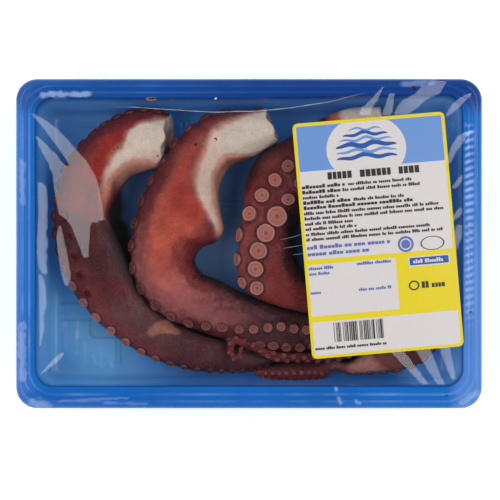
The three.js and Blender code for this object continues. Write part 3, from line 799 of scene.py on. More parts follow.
def make_suckers(rows, sucker_rows, draws):
    """All suckers of an arm as one mesh: profile turned round, tipped to the skin and set in its place."""
    places = np.concatenate([sucker_places(rows, row) for row in sucker_rows])
    t, bearing, radius, pale = places.T
    unit = lambda vectors: vectors / np.linalg.norm(vectors, axis=1, keepdims=True)
    centre = arm_form(rows, t, bearing)
    up = unit(arm_normal(rows, t, bearing) + draws.normal(0, 0.07, centre.shape))
    side = unit(np.cross(up, [0.31, 0.95, 0.05]))
    front = np.cross(up, side)
    each = (len(t), 1, 1)
    angle = np.linspace(0, 2 * np.pi, SUCKER_SIDES, endpoint=False)
    away, height = SUCKER_PROFILE[:-1].T[:, None, :, None]
    oval = 1 + 0.05 * draws.normal(size=each) * np.cos(2 * (angle + draws.random(each) * 3))
    ripple = 0.02 * np.sin(5 * angle + draws.random(each) * 6)
    folds = 0.012 * np.cos(16 * angle) * rise((away - 0.35) / 0.2) * rise((0.9 - away) / 0.15)
    scaled = lambda part: (part * radius[:, None, None])[..., None]
    reach, lift = scaled(away * (oval + ripple)), scaled(height + folds)
    turned = np.cos(angle)[..., None] * side[:, None, None]
    turned = turned + np.sin(angle)[..., None] * front[:, None, None]
    points = centre[:, None, None] + reach * turned + lift * up[:, None, None]
    root = centre - up * (0.6 * radius)[:, None]
    pole = centre + up * (SUCKER_PROFILE[-1, 1] * radius)[:, None]
    block = np.concatenate([points.reshape(len(t), -1, 3), root[:, None], pole[:, None]], axis=1)
    faces = closed_rings(len(SUCKER_PROFILE) - 1, SUCKER_SIDES, len(t))
    stops, dark, light = (np.array(part) for part in zip(*SUCKER_TONES[::-1]))
    away = np.append(np.repeat(SUCKER_PROFILE[:-1, 0], SUCKER_SIDES), SUCKER_PROFILE[[0, -1], 0])
    by_stop = lambda tones: np.stack([np.interp(away, stops, tones[:, k]) for k in range(3)], -1)
    tone = by_stop(dark) + (by_stop(light) - by_stop(dark)) * pale[:, None, None]
    tone = tone * draws.uniform(0.86, 1.1, len(t))[:, None, None]
    return block.reshape(-1, 3), faces, tone.reshape(-1, 3), np.column_stack([centre, radius])


# %% [markdown]
# The skin's colours lie in zones that follow the arm: maroon on the edges, orange red on
# the back, grey brown towards the tip and white flesh where the skin came off near the
# cut. Painted shade darkens the undersides and inner flanks. A zone is a band between two
# bearings that change along the arm, and noise frays its border. Painting an image would
# need unwrapping; a zone needs only a small table.

# %% Colours of cooked octopus
PLUM, MAROON, WINE = colour(74, 34, 38), colour(96, 36, 40), colour(122, 42, 42)
# painted shade: both darken the undersides and the lower and inner flanks
SHADE_DARK, SHADE = colour(34, 24, 26), colour(58, 32, 34)
RUST, ORANGE, CORAL = colour(146, 42, 34), colour(200, 90, 70), colour(200, 104, 80)
ROSE, GREY_BROWN, TAN = colour(158, 88, 82), colour(98, 60, 62), colour(158, 100, 88)
FLESH, PINK_FLESH, BRUISED = colour(222, 204, 188), colour(214, 156, 136), colour(132, 78, 72)


# %% Zones of each arm
FRAY_SIZE = 4


def zone(t, bearing, points, low, high, soft, fray):
    """1 between two bearings that are tables against t, 0 outside, with a soft border that noise frays."""
    wander = fray * layered(points, 4, (1, FRAY_SIZE), (0.5, FRAY_SIZE / 3))
    above = rise((bearing + wander - table(low, t)) / soft + 0.5)
    below = rise((table(high, t) - bearing - wander) / soft + 0.5)
    return above * below


def stretch(t, start, end, soft):
    """1 between two places along the arm, 0 outside, with a soft border."""
    return rise((t - start) / soft + 0.5) * rise((end - t) / soft + 0.5)


# lowest and highest bearing, softness and fray of a zone that goes all round the arm
ALL_ROUND = ([[0, -90]], [[0, 270]], 10, 0)
# colour, strength, then start, end and softness along the arm, then lowest and highest bearing,
# their softness and their fray
ZONES = {
    "left": [
        (GREY_BROWN, 1, -1, 2, 0.1, *ALL_ROUND),
        (MAROON, 1, -1, 0.6, 0.08, [[0, -60]], [[0, 200]], 30, 10),
        (WINE, 0.9, 0.02, 0.42, 0.1, [[0, 46]], [[0, 84], [0.2, 130], [0.4, 120]], 24, 8),
        (RUST, 1, 0.03, 0.28, 0.08, [[0.05, 58], [0.13, 62], [0.25, 66], [0.35, 78]],
         [[0.05, 80], [0.13, 96], [0.25, 116], [0.35, 112]], 24, 8),
        (PLUM, 0.8, 0.38, 0.56, 0.04, [[0, 50]], [[0, 200]], 30, 10),
        (WINE, 0.45, 0.5, 0.76, 0.05, [[0, 30]], [[0, 76]], 24, 10),
        (PLUM, 0.75, 0.73, 1.2, 0.06, *ALL_ROUND),
        # painted shade on the inner flank
        (colour(70, 54, 55), 0.9, 0.3, 1.2, 0.08,
         [[0.3, 144], [0.36, 134], [0.42, 126], [0.56, 132], [0.7, 146]], [[0, 270]], 16, 6),
        (SHADE_DARK, 0.7, 0.05, 1.2, 0.06, [[0, 172], [0.1, 168], [0.3, 160], [1, 158]], [[0, 270]], 16, 6),
        (SHADE_DARK, 0.6, 0.05, 1.2, 0.06, [[0, -90]], [[0, 8]], 20, 6),
        (TAN, 1, 0.683, 0.738, 0.014, [[0.68, 96], [0.7, 92], [0.72, 110], [0.74, 116]],
         [[0.68, 108], [0.7, 140], [0.715, 148], [0.74, 136]], 8, 8),
        (BRUISED, 1, -1, 0.36, 0.06, [[0, 40], [0.08, 64], [0.14, 92], [0.25, 110], [0.36, 136]],
         [[0, 190], [0.1, 158], [0.2, 150], [0.36, 154]], 34, 5),
        (CORAL, 0.8, 0.14, 0.31, 0.05, [[0.14, 96], [0.2, 102], [0.26, 116], [0.31, 130]],
         [[0.14, 112], [0.2, 128], [0.26, 142], [0.31, 154]], 20, 5),
        (PINK_FLESH, 0.9, -1, 0.26, 0.1, [[0, 40], [0.08, 62], [0.14, 90], [0.2, 98], [0.3, 124]],
         [[0, 180], [0.05, 146], [0.12, 132], [0.2, 128], [0.3, 138]], 22, 4),
        (FLESH, 1, -1, 0.21, 0.1,
         [[0, 50], [0.05, 60], [0.08, 66], [0.1, 71], [0.12, 84], [0.14, 95], [0.2, 100]],
         [[0, 150], [0.05, 130], [0.08, 124], [0.15, 118], [0.2, 116], [0.26, 120]], 8, 3),
        (PINK_FLESH, 0.4, -1, 0.2, 0.05, [[0, 116]], [[0, 170]], 30, 3),
    ],
    "middle": [
        (PLUM, 1, -1, 2, 0.1, *ALL_ROUND),
        (MAROON, 1, -1, 0.4, 0.05, [[0, -60]], [[0, 200]], 30, 10),
        (WINE, 1, 0.05, 0.36, 0.05, [[0, 48]], [[0, 150]], 26, 10),
        (ROSE, 0.25, 0.03, 0.14, 0.04, [[0, 44]], [[0, 74]], 26, 8),
        (ORANGE, 0.95, 0.09, 0.34, 0.06, [[0.08, 72], [0.13, 66], [0.2, 64], [0.3, 66]],
         [[0.08, 92], [0.13, 120], [0.2, 112], [0.3, 102]], 36, 9),
        (colour(164, 54, 42), 0.85, 0.07, 0.19, 0.04, [[0, 66]], [[0, 112]], 26, 8),
        (ROSE, 0.35, 0.26, 0.38, 0.05, [[0, 52]], [[0, 92]], 26, 24),
        (colour(174, 104, 104), 0.5, 0.23, 0.36, 0.05, [[0, 22]], [[0, 56]], 24, 20),
        (colour(174, 104, 104), 0.5, 0.31, 0.41, 0.04, [[0, 60]], [[0, 108]], 24, 16),
        (GREY_BROWN, 0.5, 0.45, 0.64, 0.05, [[0, 60]], [[0, 140]], 40, 20),
        (WINE, 0.8, 0.68, 1.2, 0.06, *ALL_ROUND),
        (SHADE_DARK, 0.9, 0.24, 1.2, 0.06, [[0.24, 186], [0.33, 134], [0.4, 130], [0.5, 150], [1, 160]],
         [[0, 275]], 24, 8),
        (SHADE_DARK, 0.6, 0.05, 0.7, 0.06, [[0, -90]], [[0, 8]], 20, 6),
        (BRUISED, 1, -1, 0.21, 0.03,
         [[0, 14], [0.03, 38], [0.06, 56], [0.1, 80], [0.138, 90], [0.167, 120], [0.2, 160]],
         [[0, 210], [0.04, 176], [0.1, 172], [0.2, 186]], 30, 5),
        (PINK_FLESH, 1, -1, 0.2, 0.03,
         [[0, 30], [0.03, 52], [0.068, 68], [0.094, 86], [0.138, 97], [0.167, 125], [0.19, 150]],
         [[0, 195], [0.037, 156], [0.068, 136], [0.105, 142], [0.146, 156], [0.19, 172]], 20, 4),
        (FLESH, 1, -1, 0.185, 0.03,
         [[0, 44], [0.03, 62], [0.068, 77], [0.094, 92], [0.138, 101], [0.167, 129], [0.19, 150]],
         [[0, 180], [0.015, 164], [0.037, 139], [0.068, 118], [0.105, 124], [0.146, 139], [0.19, 154]],
         8, 3),
        (PINK_FLESH, 0.35, 0.07, 0.2, 0.05, [[0.068, 80], [0.138, 98], [0.167, 128], [0.19, 152]],
         [[0, 200]], 12, 0),
    ],
    "curled": [
        (WINE, 1, -1, 2, 0.1, *ALL_ROUND),
        (MAROON, 0.5, -1, 0.34, 0.08, *ALL_ROUND),
        (ROSE, 0.5, 0.38, 0.7, 0.08, [[0, 10]], [[0, 60], [0.6, 70], [0.8, 100]], 40, 14),
        (SHADE, 0.85, 0.1, 0.4, 0.08, [[0, -60]], [[0, 52], [0.3, 50], [0.4, 20]], 36, 8),
        (SHADE, 0.8, 0.2, 1.2, 0.08, [[0, 118], [0.4, 114], [0.6, 112], [0.7, 110]], [[0, 300]], 20, 6),
        (SHADE_DARK, 0.9, 0.2, 1.2, 0.08, [[0, 132], [0.4, 130], [0.6, 134], [0.7, 130]], [[0, 300]], 16, 6),
        (CORAL, 1, -1, 0.11, 0.02, [[0, -40]], [[0, 110]], 16, 6),
        (FLESH, 1, -1, 0.085, 0.014, [[0, -30]], [[0, 140]], 8, 3),
    ],
    "right": [
        (PLUM, 1, -1, 2, 0.1, *ALL_ROUND),
        (MAROON, 1, -1, 0.42, 0.1, [[0, -60]], [[0, 200]], 30, 10),
        (GREY_BROWN, 1, 0.4, 0.78, 0.06, [[0, -60]], [[0, 200]], 30, 10),
        (ROSE, 0.6, 0.44, 0.72, 0.05, [[0, 30]], [[0, 120]], 40, 34),
        (colour(206, 136, 120), 0.9, 0.5, 0.62, 0.04, [[0, 20]], [[0, 130]], 40, 16),
        (WINE, 0.7, 0.74, 1.2, 0.05, *ALL_ROUND),
        (SHADE_DARK, 0.75, 0.75, 1.2, 0.04, [[0, 112]], [[0, 270]], 44, 10),
        (PINK_FLESH, 1, -1, 0.1, 0.03, [[0, 40]], [[0, 180]], 14, 6),
        (FLESH, 1, -1, 0.08, 0.03, [[0, 60]], [[0, 150]], 8, 3),
    ],
}


def paint(zones, t, bearing, points):
    """Lays the zones of an arm over each other in their order."""
    tone = np.zeros(points.shape)
    for tint, strength, start, end, ease, low, high, soft, fray in zones:
        mask = strength * stretch(t, start, end, ease) * zone(t, bearing, points, low, high, soft, fray)
        tone = lay(tone, tint, mask)
    return tone


# %% [markdown]
# The body of an arm is the loft with relief added along its normals: soft lumps from the
# shrinking in the pot, fine skin wrinkles, and a swelling under each sucker, which gives
# the edge its scalloped line. The cut end is closed with a slightly domed, rough face.

# %% Body of an arm
CAP_RINGS = 14


def make_body(rows, suckers, zones, along_steps, round_steps, seed, dome):
    """Points, faces and colours of an arm: rings along it, a rough cut face and a closed tip."""
    t = np.linspace(0, 1, along_steps)[:, None]
    bearing = np.linspace(-90, 270, round_steps, endpoint=False)[None, :]
    plain = arm_form(rows, t, bearing)
    normal = arm_normal(rows, np.clip(t, 0.004, 0.996), bearing)
    width = np.linalg.norm(plain - arm_form(rows, t, bearing + 180), axis=-1)
    size = np.clip(width / 22, 0.15, 1)
    relief = layered(plain, seed, (0.6, 13), (0.3, 5), (0.12, 1.8))
    sucker_ring_shade, swell, seat = np.zeros((3, along_steps, round_steps))
    for *centre, radius in suckers:
        gone = np.linalg.norm(plain - centre, axis=-1) / radius
        swell = np.maximum(swell, 0.26 * radius * np.exp(-(((gone - 0.95) / 0.5) ** 2)))
        sucker_ring_shade = np.maximum(sucker_ring_shade, np.exp(-(((gone - 1.08) / 0.2) ** 2)))
        seat = np.maximum(seat, rise(1.6 - gone))
    points = plain + normal * (relief * size * (1 - seat) + swell)[..., None]
    back = (plain[0] - plain[3]).mean(0)
    back /= np.linalg.norm(back)
    points += back * (1.2 * noise(plain, 5, seed + 8) * rise(1 - t / 0.03))[..., None]
    tone = paint(zones, *np.broadcast_arrays(t, bearing), plain)
    # painted shade: a dark ring round each sucker where it meets the skin
    tone = lay(tone, colour(64, 26, 30), 0.8 * sucker_ring_shade)
    flesh = rise((tone[..., 1] - 0.2) / 0.2)
    cloud = layered(plain, seed + 3, (0.16, 7), (0.14, 1.6))
    tone *= (1 + cloud * (1 - 0.6 * flesh))[..., None]
    middle = points[0].mean(0)
    shrink = np.cos(np.linspace(0, np.pi / 2, CAP_RINGS + 2)[1:-1])[::-1]
    cap = middle + (points[0] - middle) * shrink[:, None, None]
    rough = layered(cap, seed + 5, (0.5, 3), (0.25, 1.2))
    low = dome * rise(0.5 - np.sin(np.radians(bearing[0])))
    shrink = shrink[:, None]
    cap += back * ((1.3 + low) * np.sqrt(1 - shrink**2) + rough * (1 - shrink**6))[..., None]
    cap_tone = lay(np.broadcast_to(BRUISED, cap.shape), FLESH, 0.5 + 0.4 * noise(cap, 2.5, seed + 7))
    core = np.linalg.norm(cap - middle, axis=-1) / (0.13 * width[0].mean())
    cap_tone = lay(cap_tone, ROSE, 0.8 * np.exp(-core**4))
    points = np.concatenate([cap, points])
    tone = np.concatenate([cap_tone, tone])
    flesh = np.concatenate([np.ones(cap.shape[:2]), flesh])
    faces = closed_rings(*points.shape[:2])
    if np.dot(np.cross(plain[0, 1] - plain[0, 0], -back), normal[0, 0]) < 0:
        # the outer edge is on the right of the way along this arm, so its faces are reversed to look out
        faces = [face[::-1] for face in faces]
    poles = points[0].mean(0), points[-1].mean(0)
    flat = np.vstack([points.reshape(-1, 3), *poles])
    tone = np.vstack([tone.reshape(-1, 3), tone[0, 0], tone[-1, 0]])
    return flat, faces, np.clip(tone, 0, 1), np.append(flesh.ravel(), [1, 0])


# %% Skin, a wet surface with fine pale grain
GRAINS_PER_METRE = 1400.0
GRAIN_TINT = (0.07, 0.045, 0.048, 1)


def skin_material(name, coat, grain):
    """Reads the colour attribute, mottles it, adds fine pale grain on the skin, and adds relief."""
    material, tree, output = new_material(name)
    painted = node(tree, "Attribute", attribute_name="tone").outputs["Color"]
    flesh = node(tree, "Attribute", attribute_name="flesh").outputs["Fac"]
    fine = use_group(tree, mottle_group, Size=0.9, Strength=0.6)
    patches = use_group(tree, mottle_group, Size=5.0, Strength=0.4)
    where = node(tree, "TexCoord").outputs["Object"]
    cells = node(tree, "TexVoronoi", {"Vector": where, "Scale": GRAINS_PER_METRE})
    dots = node(tree, "MapRange", {
        "Value": cells.outputs["Distance"], "From Min": 0.15, "From Max": 0.4,
        "To Min": grain, "To Max": 0.0})
    bare = node(tree, "Math", {0: 1.0, 1: flesh}, operation="SUBTRACT")
    grained = node(tree, "Math", {0: dots.outputs["Result"], 1: bare.outputs[0]}, operation="MULTIPLY")
    both = {0: fine.outputs["Shade"], 1: patches.outputs["Shade"]}
    shade = node(tree, "Math", both, operation="MULTIPLY")
    tinted = node(tree, "Mix", {
        "Factor": grained.outputs[0], "A": shaded(tree, painted, shade.outputs[0]), "B": GRAIN_TINT},
        data_type="RGBA", blend_type="ADD")
    rough = node(tree, "MapRange", {"Value": fine.outputs["Height"], "To Min": 0.24, "To Max": 0.48})
    relief = node(tree, "Bump", {"Height": fine.outputs["Height"], "Strength": 0.6, "Distance": 0.0004})
    bsdf = node(tree, "BsdfPrincipled", {
        "Base Color": tinted.outputs["Result"], "Roughness": rough.outputs["Result"], "IOR": 1.33,
        "Specular IOR Level": 0.2, "Subsurface Weight": 0.12, "Subsurface Radius": (1.0, 0.4, 0.25),
        "Subsurface Scale": 0.0015, "Coat Weight": coat, "Coat Roughness": 0.08,
        "Normal": relief.outputs["Normal"]})
    tree.links.new(bsdf.outputs[0], output.inputs["Surface"])
    return material


arm_skin = skin_material("cooked_skin", 0.08, 0.8)
sucker_skin = skin_material("sucker_skin", 0.16, 0.0)

# %% Make the four arms
# stations, steps along and round the body, and how far its cut end bulges low down
ARMS = {
    "left": (LEFT_ARM, 440, 112, 3),
    "middle": (MIDDLE_ARM + curl_stations(), 560, 104, 0),
    "curled": (CURLED_ARM, 330, 124, 0),
    "right": (RIGHT_ARM, 400, 100, 0),
}
bodies = []
for index, (name, (rows, along_steps, round_steps, dome)) in enumerate(ARMS.items()):
    draws = np.random.default_rng(40 + index)
    points, faces, tone, places = make_suckers(rows, SUCKER_ROWS[name], draws)
    make_piece(f"suckers_{name}", points, faces, [sucker_skin], [f"arm_{name}"],
               {"tone": tone, "flesh": np.ones(len(tone))})
    body, body_faces, body_tone, flesh = make_body(
        rows, places, ZONES[name], along_steps, round_steps, 10 * index, dome)
    bodies.append(body)
    make_piece(f"skin_{name}", body, body_faces, [arm_skin], [f"arm_{name}"],
               {"tone": body_tone, "flesh": flesh})

# %% [markdown]
# ## The lid film
#
# The film is sealed hot to the land and shrinks taut over the food, so it is nearly flat,
# drops to the rim at its edges and has tension folds that fan out from the corners. A fold
# is a pane that leans a few degrees towards a light, which is what makes it shine. The mesh
# stays smooth and only its normals lean: the eye reads a fold from its shine alone.

# %% Film sizes
FILM = {"overhang": 9.2, "crown": 4.6, "crown_powers": (2.6, 2.4), "thickness": 0.12}


def film_base(x, y):
    """Height of the smooth film: flat on the rim, crowned over the food by falling powers of x and y."""
    lengthwise = np.minimum(np.abs(x) / TRAY["half_length"], 1)
    across = np.minimum(np.abs(y) / TRAY["half_width"], 1)
    long_power, wide_power = FILM["crown_powers"]
    return TRAY["height"] + GAP + FILM["crown"] * (1 - lengthwise**long_power) * (1 - across**wide_power)


# Panes of film that lean towards a light: lean in degrees, then rows of y, left edge x and right edge x
PANES = [
    (9, [[64.1, -107.1, -106.6], [59.9, -103.4, -99], [55.8, -99.6, -93.8], [50.7, -95.9, -88.8],
         [46, -92.6, -84.9], [41.9, -89.6, -80.8], [37.9, -87.4, -77.7]]),
    (9, [[52.4, -104.1, -103.6], [48.1, -102.4, -99], [46, -101.5, -97.1], [43, -99.7, -93.8],
         [39.9, -97.9, -91.7], [37.9, -96.7, -89.4]]),
    (8, [[37.6, -97.5, -78], [33.8, -95.4, -75.4], [28.6, -95.1, -73.5], [23.6, -94.2, -72.5],
         [17.3, -92.8, -71.3], [14.3, -92.3, -70.9], [11.4, -88.3, -70.7], [9.9, -87.1, -76.4],
         [8.1, -86.1, -77.4], [2.9, -84.1, -77.7], [-2.2, -82, -77.9], [-5.8, -81.2, -78.3],
         [-7.1, -80, -79.5]]),
    (7, [[8.5, -92.4, -91.9], [3.6, -93.7, -91], [-3.7, -93.1, -89.2], [-9.1, -92.2, -88.4],
         [-14, -91.5, -87.4], [-17.9, -90.5, -87.2], [-20.5, -89.7, -89.2]]),
    (6, [[29.5, -102.9, -101.9], [28, -102.9, -99.7], [23.6, -102.7, -99], [16.3, -102.4, -98.8],
         [9, -102.7, -99], [4.6, -103.1, -99.9], [1.7, -102.9, -98.8], [-1.8, -102.8, -98.6],
         [-4.2, -103, -100.2], [-6.6, -102.9, -98.9], [-9.1, -102.6, -99.9], [-11.5, -102.2, -99.1],
         [-14, -101, -98.6], [-14.9, -99.7, -99.2]]),
    (6, [[-15.4, -102.4, -101.9], [-17.9, -102.3, -100.1], [-22.7, -102.2, -99.5], [-30, -102.2, -99.2],
         [-34.4, -102.2, -100.3], [-36.6, -102.1, -101.4], [-38.3, -102.2, -100.4], [-40.8, -102.2, -100.1],
         [-45.2, -102.2, -101], [-50, -102.3, -102]]),
    (9, [[-53.5, -91.9, -90.5], [-55.4, -94.1, -91.4], [-57.8, -96.6, -93.6], [-60.8, -99.2, -97.1],
         [-64.2, -102.2, -101.7]]),
    (-9, [[-49.5, 66, 74], [-53.5, 69.4, 76.3], [-68.8, 84.6, 88.2]]),
    (-9, [[-50, 80, 88], [-53, 82, 88.8], [-68.8, 92, 95.6]]),
    (-9, [[-49, 92.4, 98], [-52, 93.4, 98.4], [-66.5, 98.9, 101]]),
    (-9, [[77.2, 65.4, 66.4], [73.6, 62, 65], [69.9, 58.9, 63], [66.2, 54.8, 60.6], [62.4, 53.3, 59.4]]),
    (-9, [[73.5, 68.3, 71.6], [68.4, 67, 71.1], [62.5, 64.7, 69.6]]),
    (-9, [[79.4, 90.5, 96.3], [77.2, 84.5, 95.6], [73.6, 81.5, 93.4], [69.9, 74.8, 86], [66.2, 71.9, 82.3],
          [62.9, 70.4, 77.1]]),
    (-8, [[73.6, 108.2, 109.2], [71.4, 103, 107.5], [67.7, 98.6, 103.7], [63.9, 96.4, 99.7],
          [61.8, 95.9, 96.3]]),
    (-8, [[55.3, 108.3, 109.9], [54.3, 105, 109.4], [52.1, 101.8, 106.3], [47.7, 99.2, 103.3],
          [43.3, 98, 100.3], [39.5, 97.4, 98.2]]),
    (-8, [[33, 103.4, 104.6], [30.2, 101.4, 103.4], [27.2, 99.6, 101]]),
    (-8, [[16.8, 102.6, 104.2], [14.3, 100.4, 103], [11.8, 98.6, 100.6]]),
    (-8, [[8.6, 101.6, 103.6], [3, 100, 103.6], [-2.8, 99.4, 101.2]]),
]


def pane_lean(x, y):
    """Extra slope along x at each point: the tangent of its pane's lean, with ragged but crisp borders."""
    slope = np.zeros(np.shape(x))
    flat = np.stack([x, y, np.zeros_like(x)], -1)
    ragged = x + layered(flat, 41, (0.15, 2.6), (0.25, 9))
    for lean, rows in PANES:
        y_row, left, right = np.array(rows[::-1]).T
        left, right = np.interp(y, y_row, left), np.interp(y, y_row, right)
        inside = rise((ragged - left) / 1.2 + 0.6) * rise((right - ragged) / 1.2 + 0.6)
        inside *= rise((y - y_row[0]) / 1.2 + 0.6) * rise((y_row[-1] - y) / 1.2 + 0.6)
        slope += math.tan(math.radians(lean)) * inside
    return slope


# %% Label place, which the film's folds stay clear of
LABEL = {"width": 74.5, "length": 115, "corner": 2.6, "centre": (63, 4),
         "turn": math.radians(4.9), "lift": 0.35}


def label_to_pack(u, v):
    """A point of the label, from its lower left corner, turned and moved to its place on the pack."""
    x, y = u - LABEL["width"] / 2, v - LABEL["length"] / 2
    cos, sin = math.cos(LABEL["turn"]), math.sin(LABEL["turn"])
    return LABEL["centre"][0] + x * cos - y * sin, LABEL["centre"][1] + x * sin + y * cos


def off_label(x, y):
    """How far a point lies outside the label, 0 inside it."""
    dx, dy = x - LABEL["centre"][0], y - LABEL["centre"][1]
    cos, sin = math.cos(LABEL["turn"]), math.sin(LABEL["turn"])
    along, across = np.abs(dx * cos + dy * sin), np.abs(dy * cos - dx * sin)
    return np.hypot(np.maximum(along - LABEL["width"] / 2, 0), np.maximum(across - LABEL["length"] / 2, 0))


def film_height(x, y):
    """Height of the film's under side: the smooth form with ripples that die out on rim and label."""
    inside = np.minimum(TRAY["half_length"] - np.abs(x), TRAY["half_width"] - np.abs(y))
    flat = np.stack([x, y, np.zeros_like(x)], -1)
    ripples = 0.012 * noise(flat * [1, 0.5, 1], 4, 33) + 0.06 * noise(flat, 16, 34)
    return film_base(x, y) + rise(off_label(x, y) / 3) * ripples * rise(inside / 3)


TAUT = 0.75  # share of the crown's slope that the film's shine follows from side to side
SLOPE_STEP = 0.2


def film_normals(x, y):
    """Upward normals of the film: the height's own slopes, with the lean of the panes added."""
    step = SLOPE_STEP
    across = TAUT * (film_height(x + step, y) - film_height(x - step, y)) / (2 * step)
    across = across + pane_lean(x, y)
    along = (film_height(x, y + step) - film_height(x, y - step)) / (2 * step)
    normal = np.stack([-across, -along, np.ones_like(x)], -1)
    return normal / np.linalg.norm(normal, axis=-1, keepdims=True)


# %% Film sheet
film_half = np.array([TRAY["half_length"], TRAY["half_width"]]) + FILM["overhang"]
film_corner = TRAY["corner"] + FILM["overhang"] * CORNER_GROWTH
# fine columns where there are folds, coarse ones over the middle
stretches = ((-1, -0.62, 60), (-0.62, 0.46, 20), (0.46, 1, 88))
across = np.unique(np.concatenate([np.linspace(*stretch) for stretch in stretches]))
up = np.linspace(-1, 1, 300)
past = np.maximum(np.abs(up) * film_half[1] - (film_half[1] - film_corner), 0)
reach = film_half[0] - film_corner + np.sqrt(np.maximum(film_corner**2 - past**2, 0))
film_x = across[None, :] * reach[:, None]
film_y = np.broadcast_to(up[:, None] * film_half[1], film_x.shape)
film_top = np.stack([film_x, film_y, film_height(film_x, film_y) + FILM["thickness"]], -1)
film_points, film_faces = closed_sheet(film_top, FILM["thickness"])
film_up = film_normals(film_x, film_y).reshape(-1, 3)

# %% [markdown]
# Clear film hardly shows except where it mirrors a light. So its material mixes a clear
# shader with a mirror by the Fresnel factor, which is small head-on and grows at an angle.
# A glass shader would also bend and darken what lies below, which a thin film doesn't do.
# Seen from inside the film, the factor would mirror everything at a low angle, so the back
# faces get the inverse index, which makes both faces act alike.

# %% Film material
FILM_IOR = 1.41
film_material, tree, output = new_material("clear_lid_film")
veil = use_group(tree, mottle_group, Size=0.8, Strength=1.0)
gloss_rough = node(tree, "MapRange", {"Value": veil.outputs["Height"], "To Min": 0.05, "To Max": 0.1})
clear = node(tree, "BsdfTransparent", {"Color": (0.99, 0.992, 0.995, 1)})
mirror = node(tree, "BsdfGlossy", {"Color": (1, 1, 1, 1), "Roughness": gloss_rough.outputs["Result"]})
back = node(tree, "NewGeometry").outputs["Backfacing"]
ior = node(tree, "MapRange", {"Value": back, "To Min": FILM_IOR, "To Max": 1 / FILM_IOR})
share = node(tree, "Fresnel", {"IOR": ior.outputs["Result"]})
film_mix = node(tree, "MixShader", {0: share.outputs[0], 1: clear.outputs[0], 2: mirror.outputs[0]})
tree.links.new(film_mix.outputs[0], output.inputs["Surface"])
film = make_piece("lid_film_sheet", film_points, film_faces, [film_material], ["lid_film"])
film.data.normals_split_custom_set_from_vertices(np.concatenate([film_up, -film_up]).tolist())

# %% [markdown]
# ## The label
#
# The label is coated paper with flat inks. Each ink is its own thin sheet that follows the
# paper, so borders stay crisp at any zoom and the print exists as shapes. Where the real
# label has words it gets rows of plain blocks, with nothing that can be read.

# %% Label inks
def ink_material(name, tint):
    """Flat ink on coated paper: its colour with slight mottling and a faint paper grain."""
    material, tree, output = new_material(name)
    fleck = use_group(tree, mottle_group, Size=1.2, Strength=0.12)
    grain = node(tree, "Bump", {"Height": fleck.outputs["Height"], "Strength": 0.1, "Distance": 0.0001})
    rough = node(tree, "MapRange", {"Value": fleck.outputs["Height"], "To Min": 0.37, "To Max": 0.47})
    bsdf = node(tree, "BsdfPrincipled", {
        "Base Color": shaded(tree, (*tint, 1), fleck.outputs["Shade"]),
        "Roughness": rough.outputs["Result"], "Normal": grain.outputs["Normal"]})
    tree.links.new(bsdf.outputs[0], output.inputs["Surface"])
    return material


INKS = {
    "white": ink_material("white_paper", colour(228, 219, 218)),
    "yellow": ink_material("yellow_ink", colour(240, 216, 14)),
    "sky": ink_material("sky_ink", colour(112, 154, 218)),
    "blue": ink_material("blue_ink", colour(28, 86, 168)),
    "violet": ink_material("violet_ink", colour(96, 116, 184)),
    "black": ink_material("black_ink", colour(46, 38, 38)),
}


def on_label(u, v, layer):
    """Label points in the pack's frame, each ink layer a twentieth of a millimetre above the last."""
    x, y = label_to_pack(u, v)
    return np.stack([x, y, film_base(x, y) + LABEL["lift"] + 0.3 + 0.05 * layer], -1)


def rounded_sheet(u0, v0, u1, v1, radius, layer, cell=3.0):
    """A grid over a rectangle of the label, its rows shortened near the corners to round them."""
    rows, columns = (max(2, int(math.ceil(size / cell)) + 1) for size in (v1 - v0, u1 - u0))
    if radius:
        corner = radius * (1 - np.cos(np.linspace(0, np.pi / 2, 6)))
        inner = np.linspace(v0 + radius, v1 - radius, rows)[1:-1]
        v = np.concatenate([v0 + corner, inner, (v1 - corner)[::-1]])
    else:
        v = np.linspace(v0, v1, rows)
    past = np.maximum(np.maximum(v0 + radius - v, v - v1 + radius), 0)
    inset = radius - np.sqrt(np.maximum(radius**2 - past**2, 0))
    u = np.linspace(0, 1, columns)[None, :] * (u1 - u0 - 2 * inset[:, None]) + u0 + inset[:, None]
    return on_label(u, np.broadcast_to(v[:, None], u.shape), layer)


def print_piece(name, sheets, ink, replaces=()):
    """Several label sheets in one ink, joined into one mesh."""
    points, faces = join_sheets(sheets)
    return make_piece(name, points, faces, [ink], replaces, smooth=False)


# %% [markdown]
# The fields of colour are rectangles in the label's own millimetres, from its lower left
# corner. Text rows are strings of small blocks whose widths come from seeded draws.

# %% Label fields
W, H = LABEL["width"], LABEL["length"]
BORDER = 1.5


def text_row(u0, u1, v, height, draws, word=(2, 9), letter=0.72, even=False):
    """A row of blocks that stands for words: letters of uneven width and height with gaps between words."""
    sheets, u = [], u0
    while u < u1 - 0.5 * height:
        for _ in range(draws.integers(*word)):
            wide = letter * draws.uniform(0.8, 1.15) * height / 1.4
            tall = height if even else height * draws.choice([0.68, 0.72, 1.0], p=[0.5, 0.2, 0.3])
            if u + wide > u1:
                return sheets
            sheets.append(rounded_sheet(u, v, u + wide, v + tall, 0, 4, cell=9))
            u += wide + 0.14 * height
        u += 0.5 * height
    return sheets


def arc_sheet(cu, cv, ru, rv, layer, inner=0.0, steps=64, low=-np.inf, high=np.inf):
    """A disc or, with an inner share above 0, a ring: angle against distance, cut off below and above."""
    angle = np.linspace(2 * np.pi, 0, steps + 1)
    share = np.linspace(max(inner, 0.02), 1, 4)[:, None]
    v = np.clip(cv + rv * share * np.sin(angle), low, high)
    return on_label(cu + ru * share * np.cos(angle), v, layer)


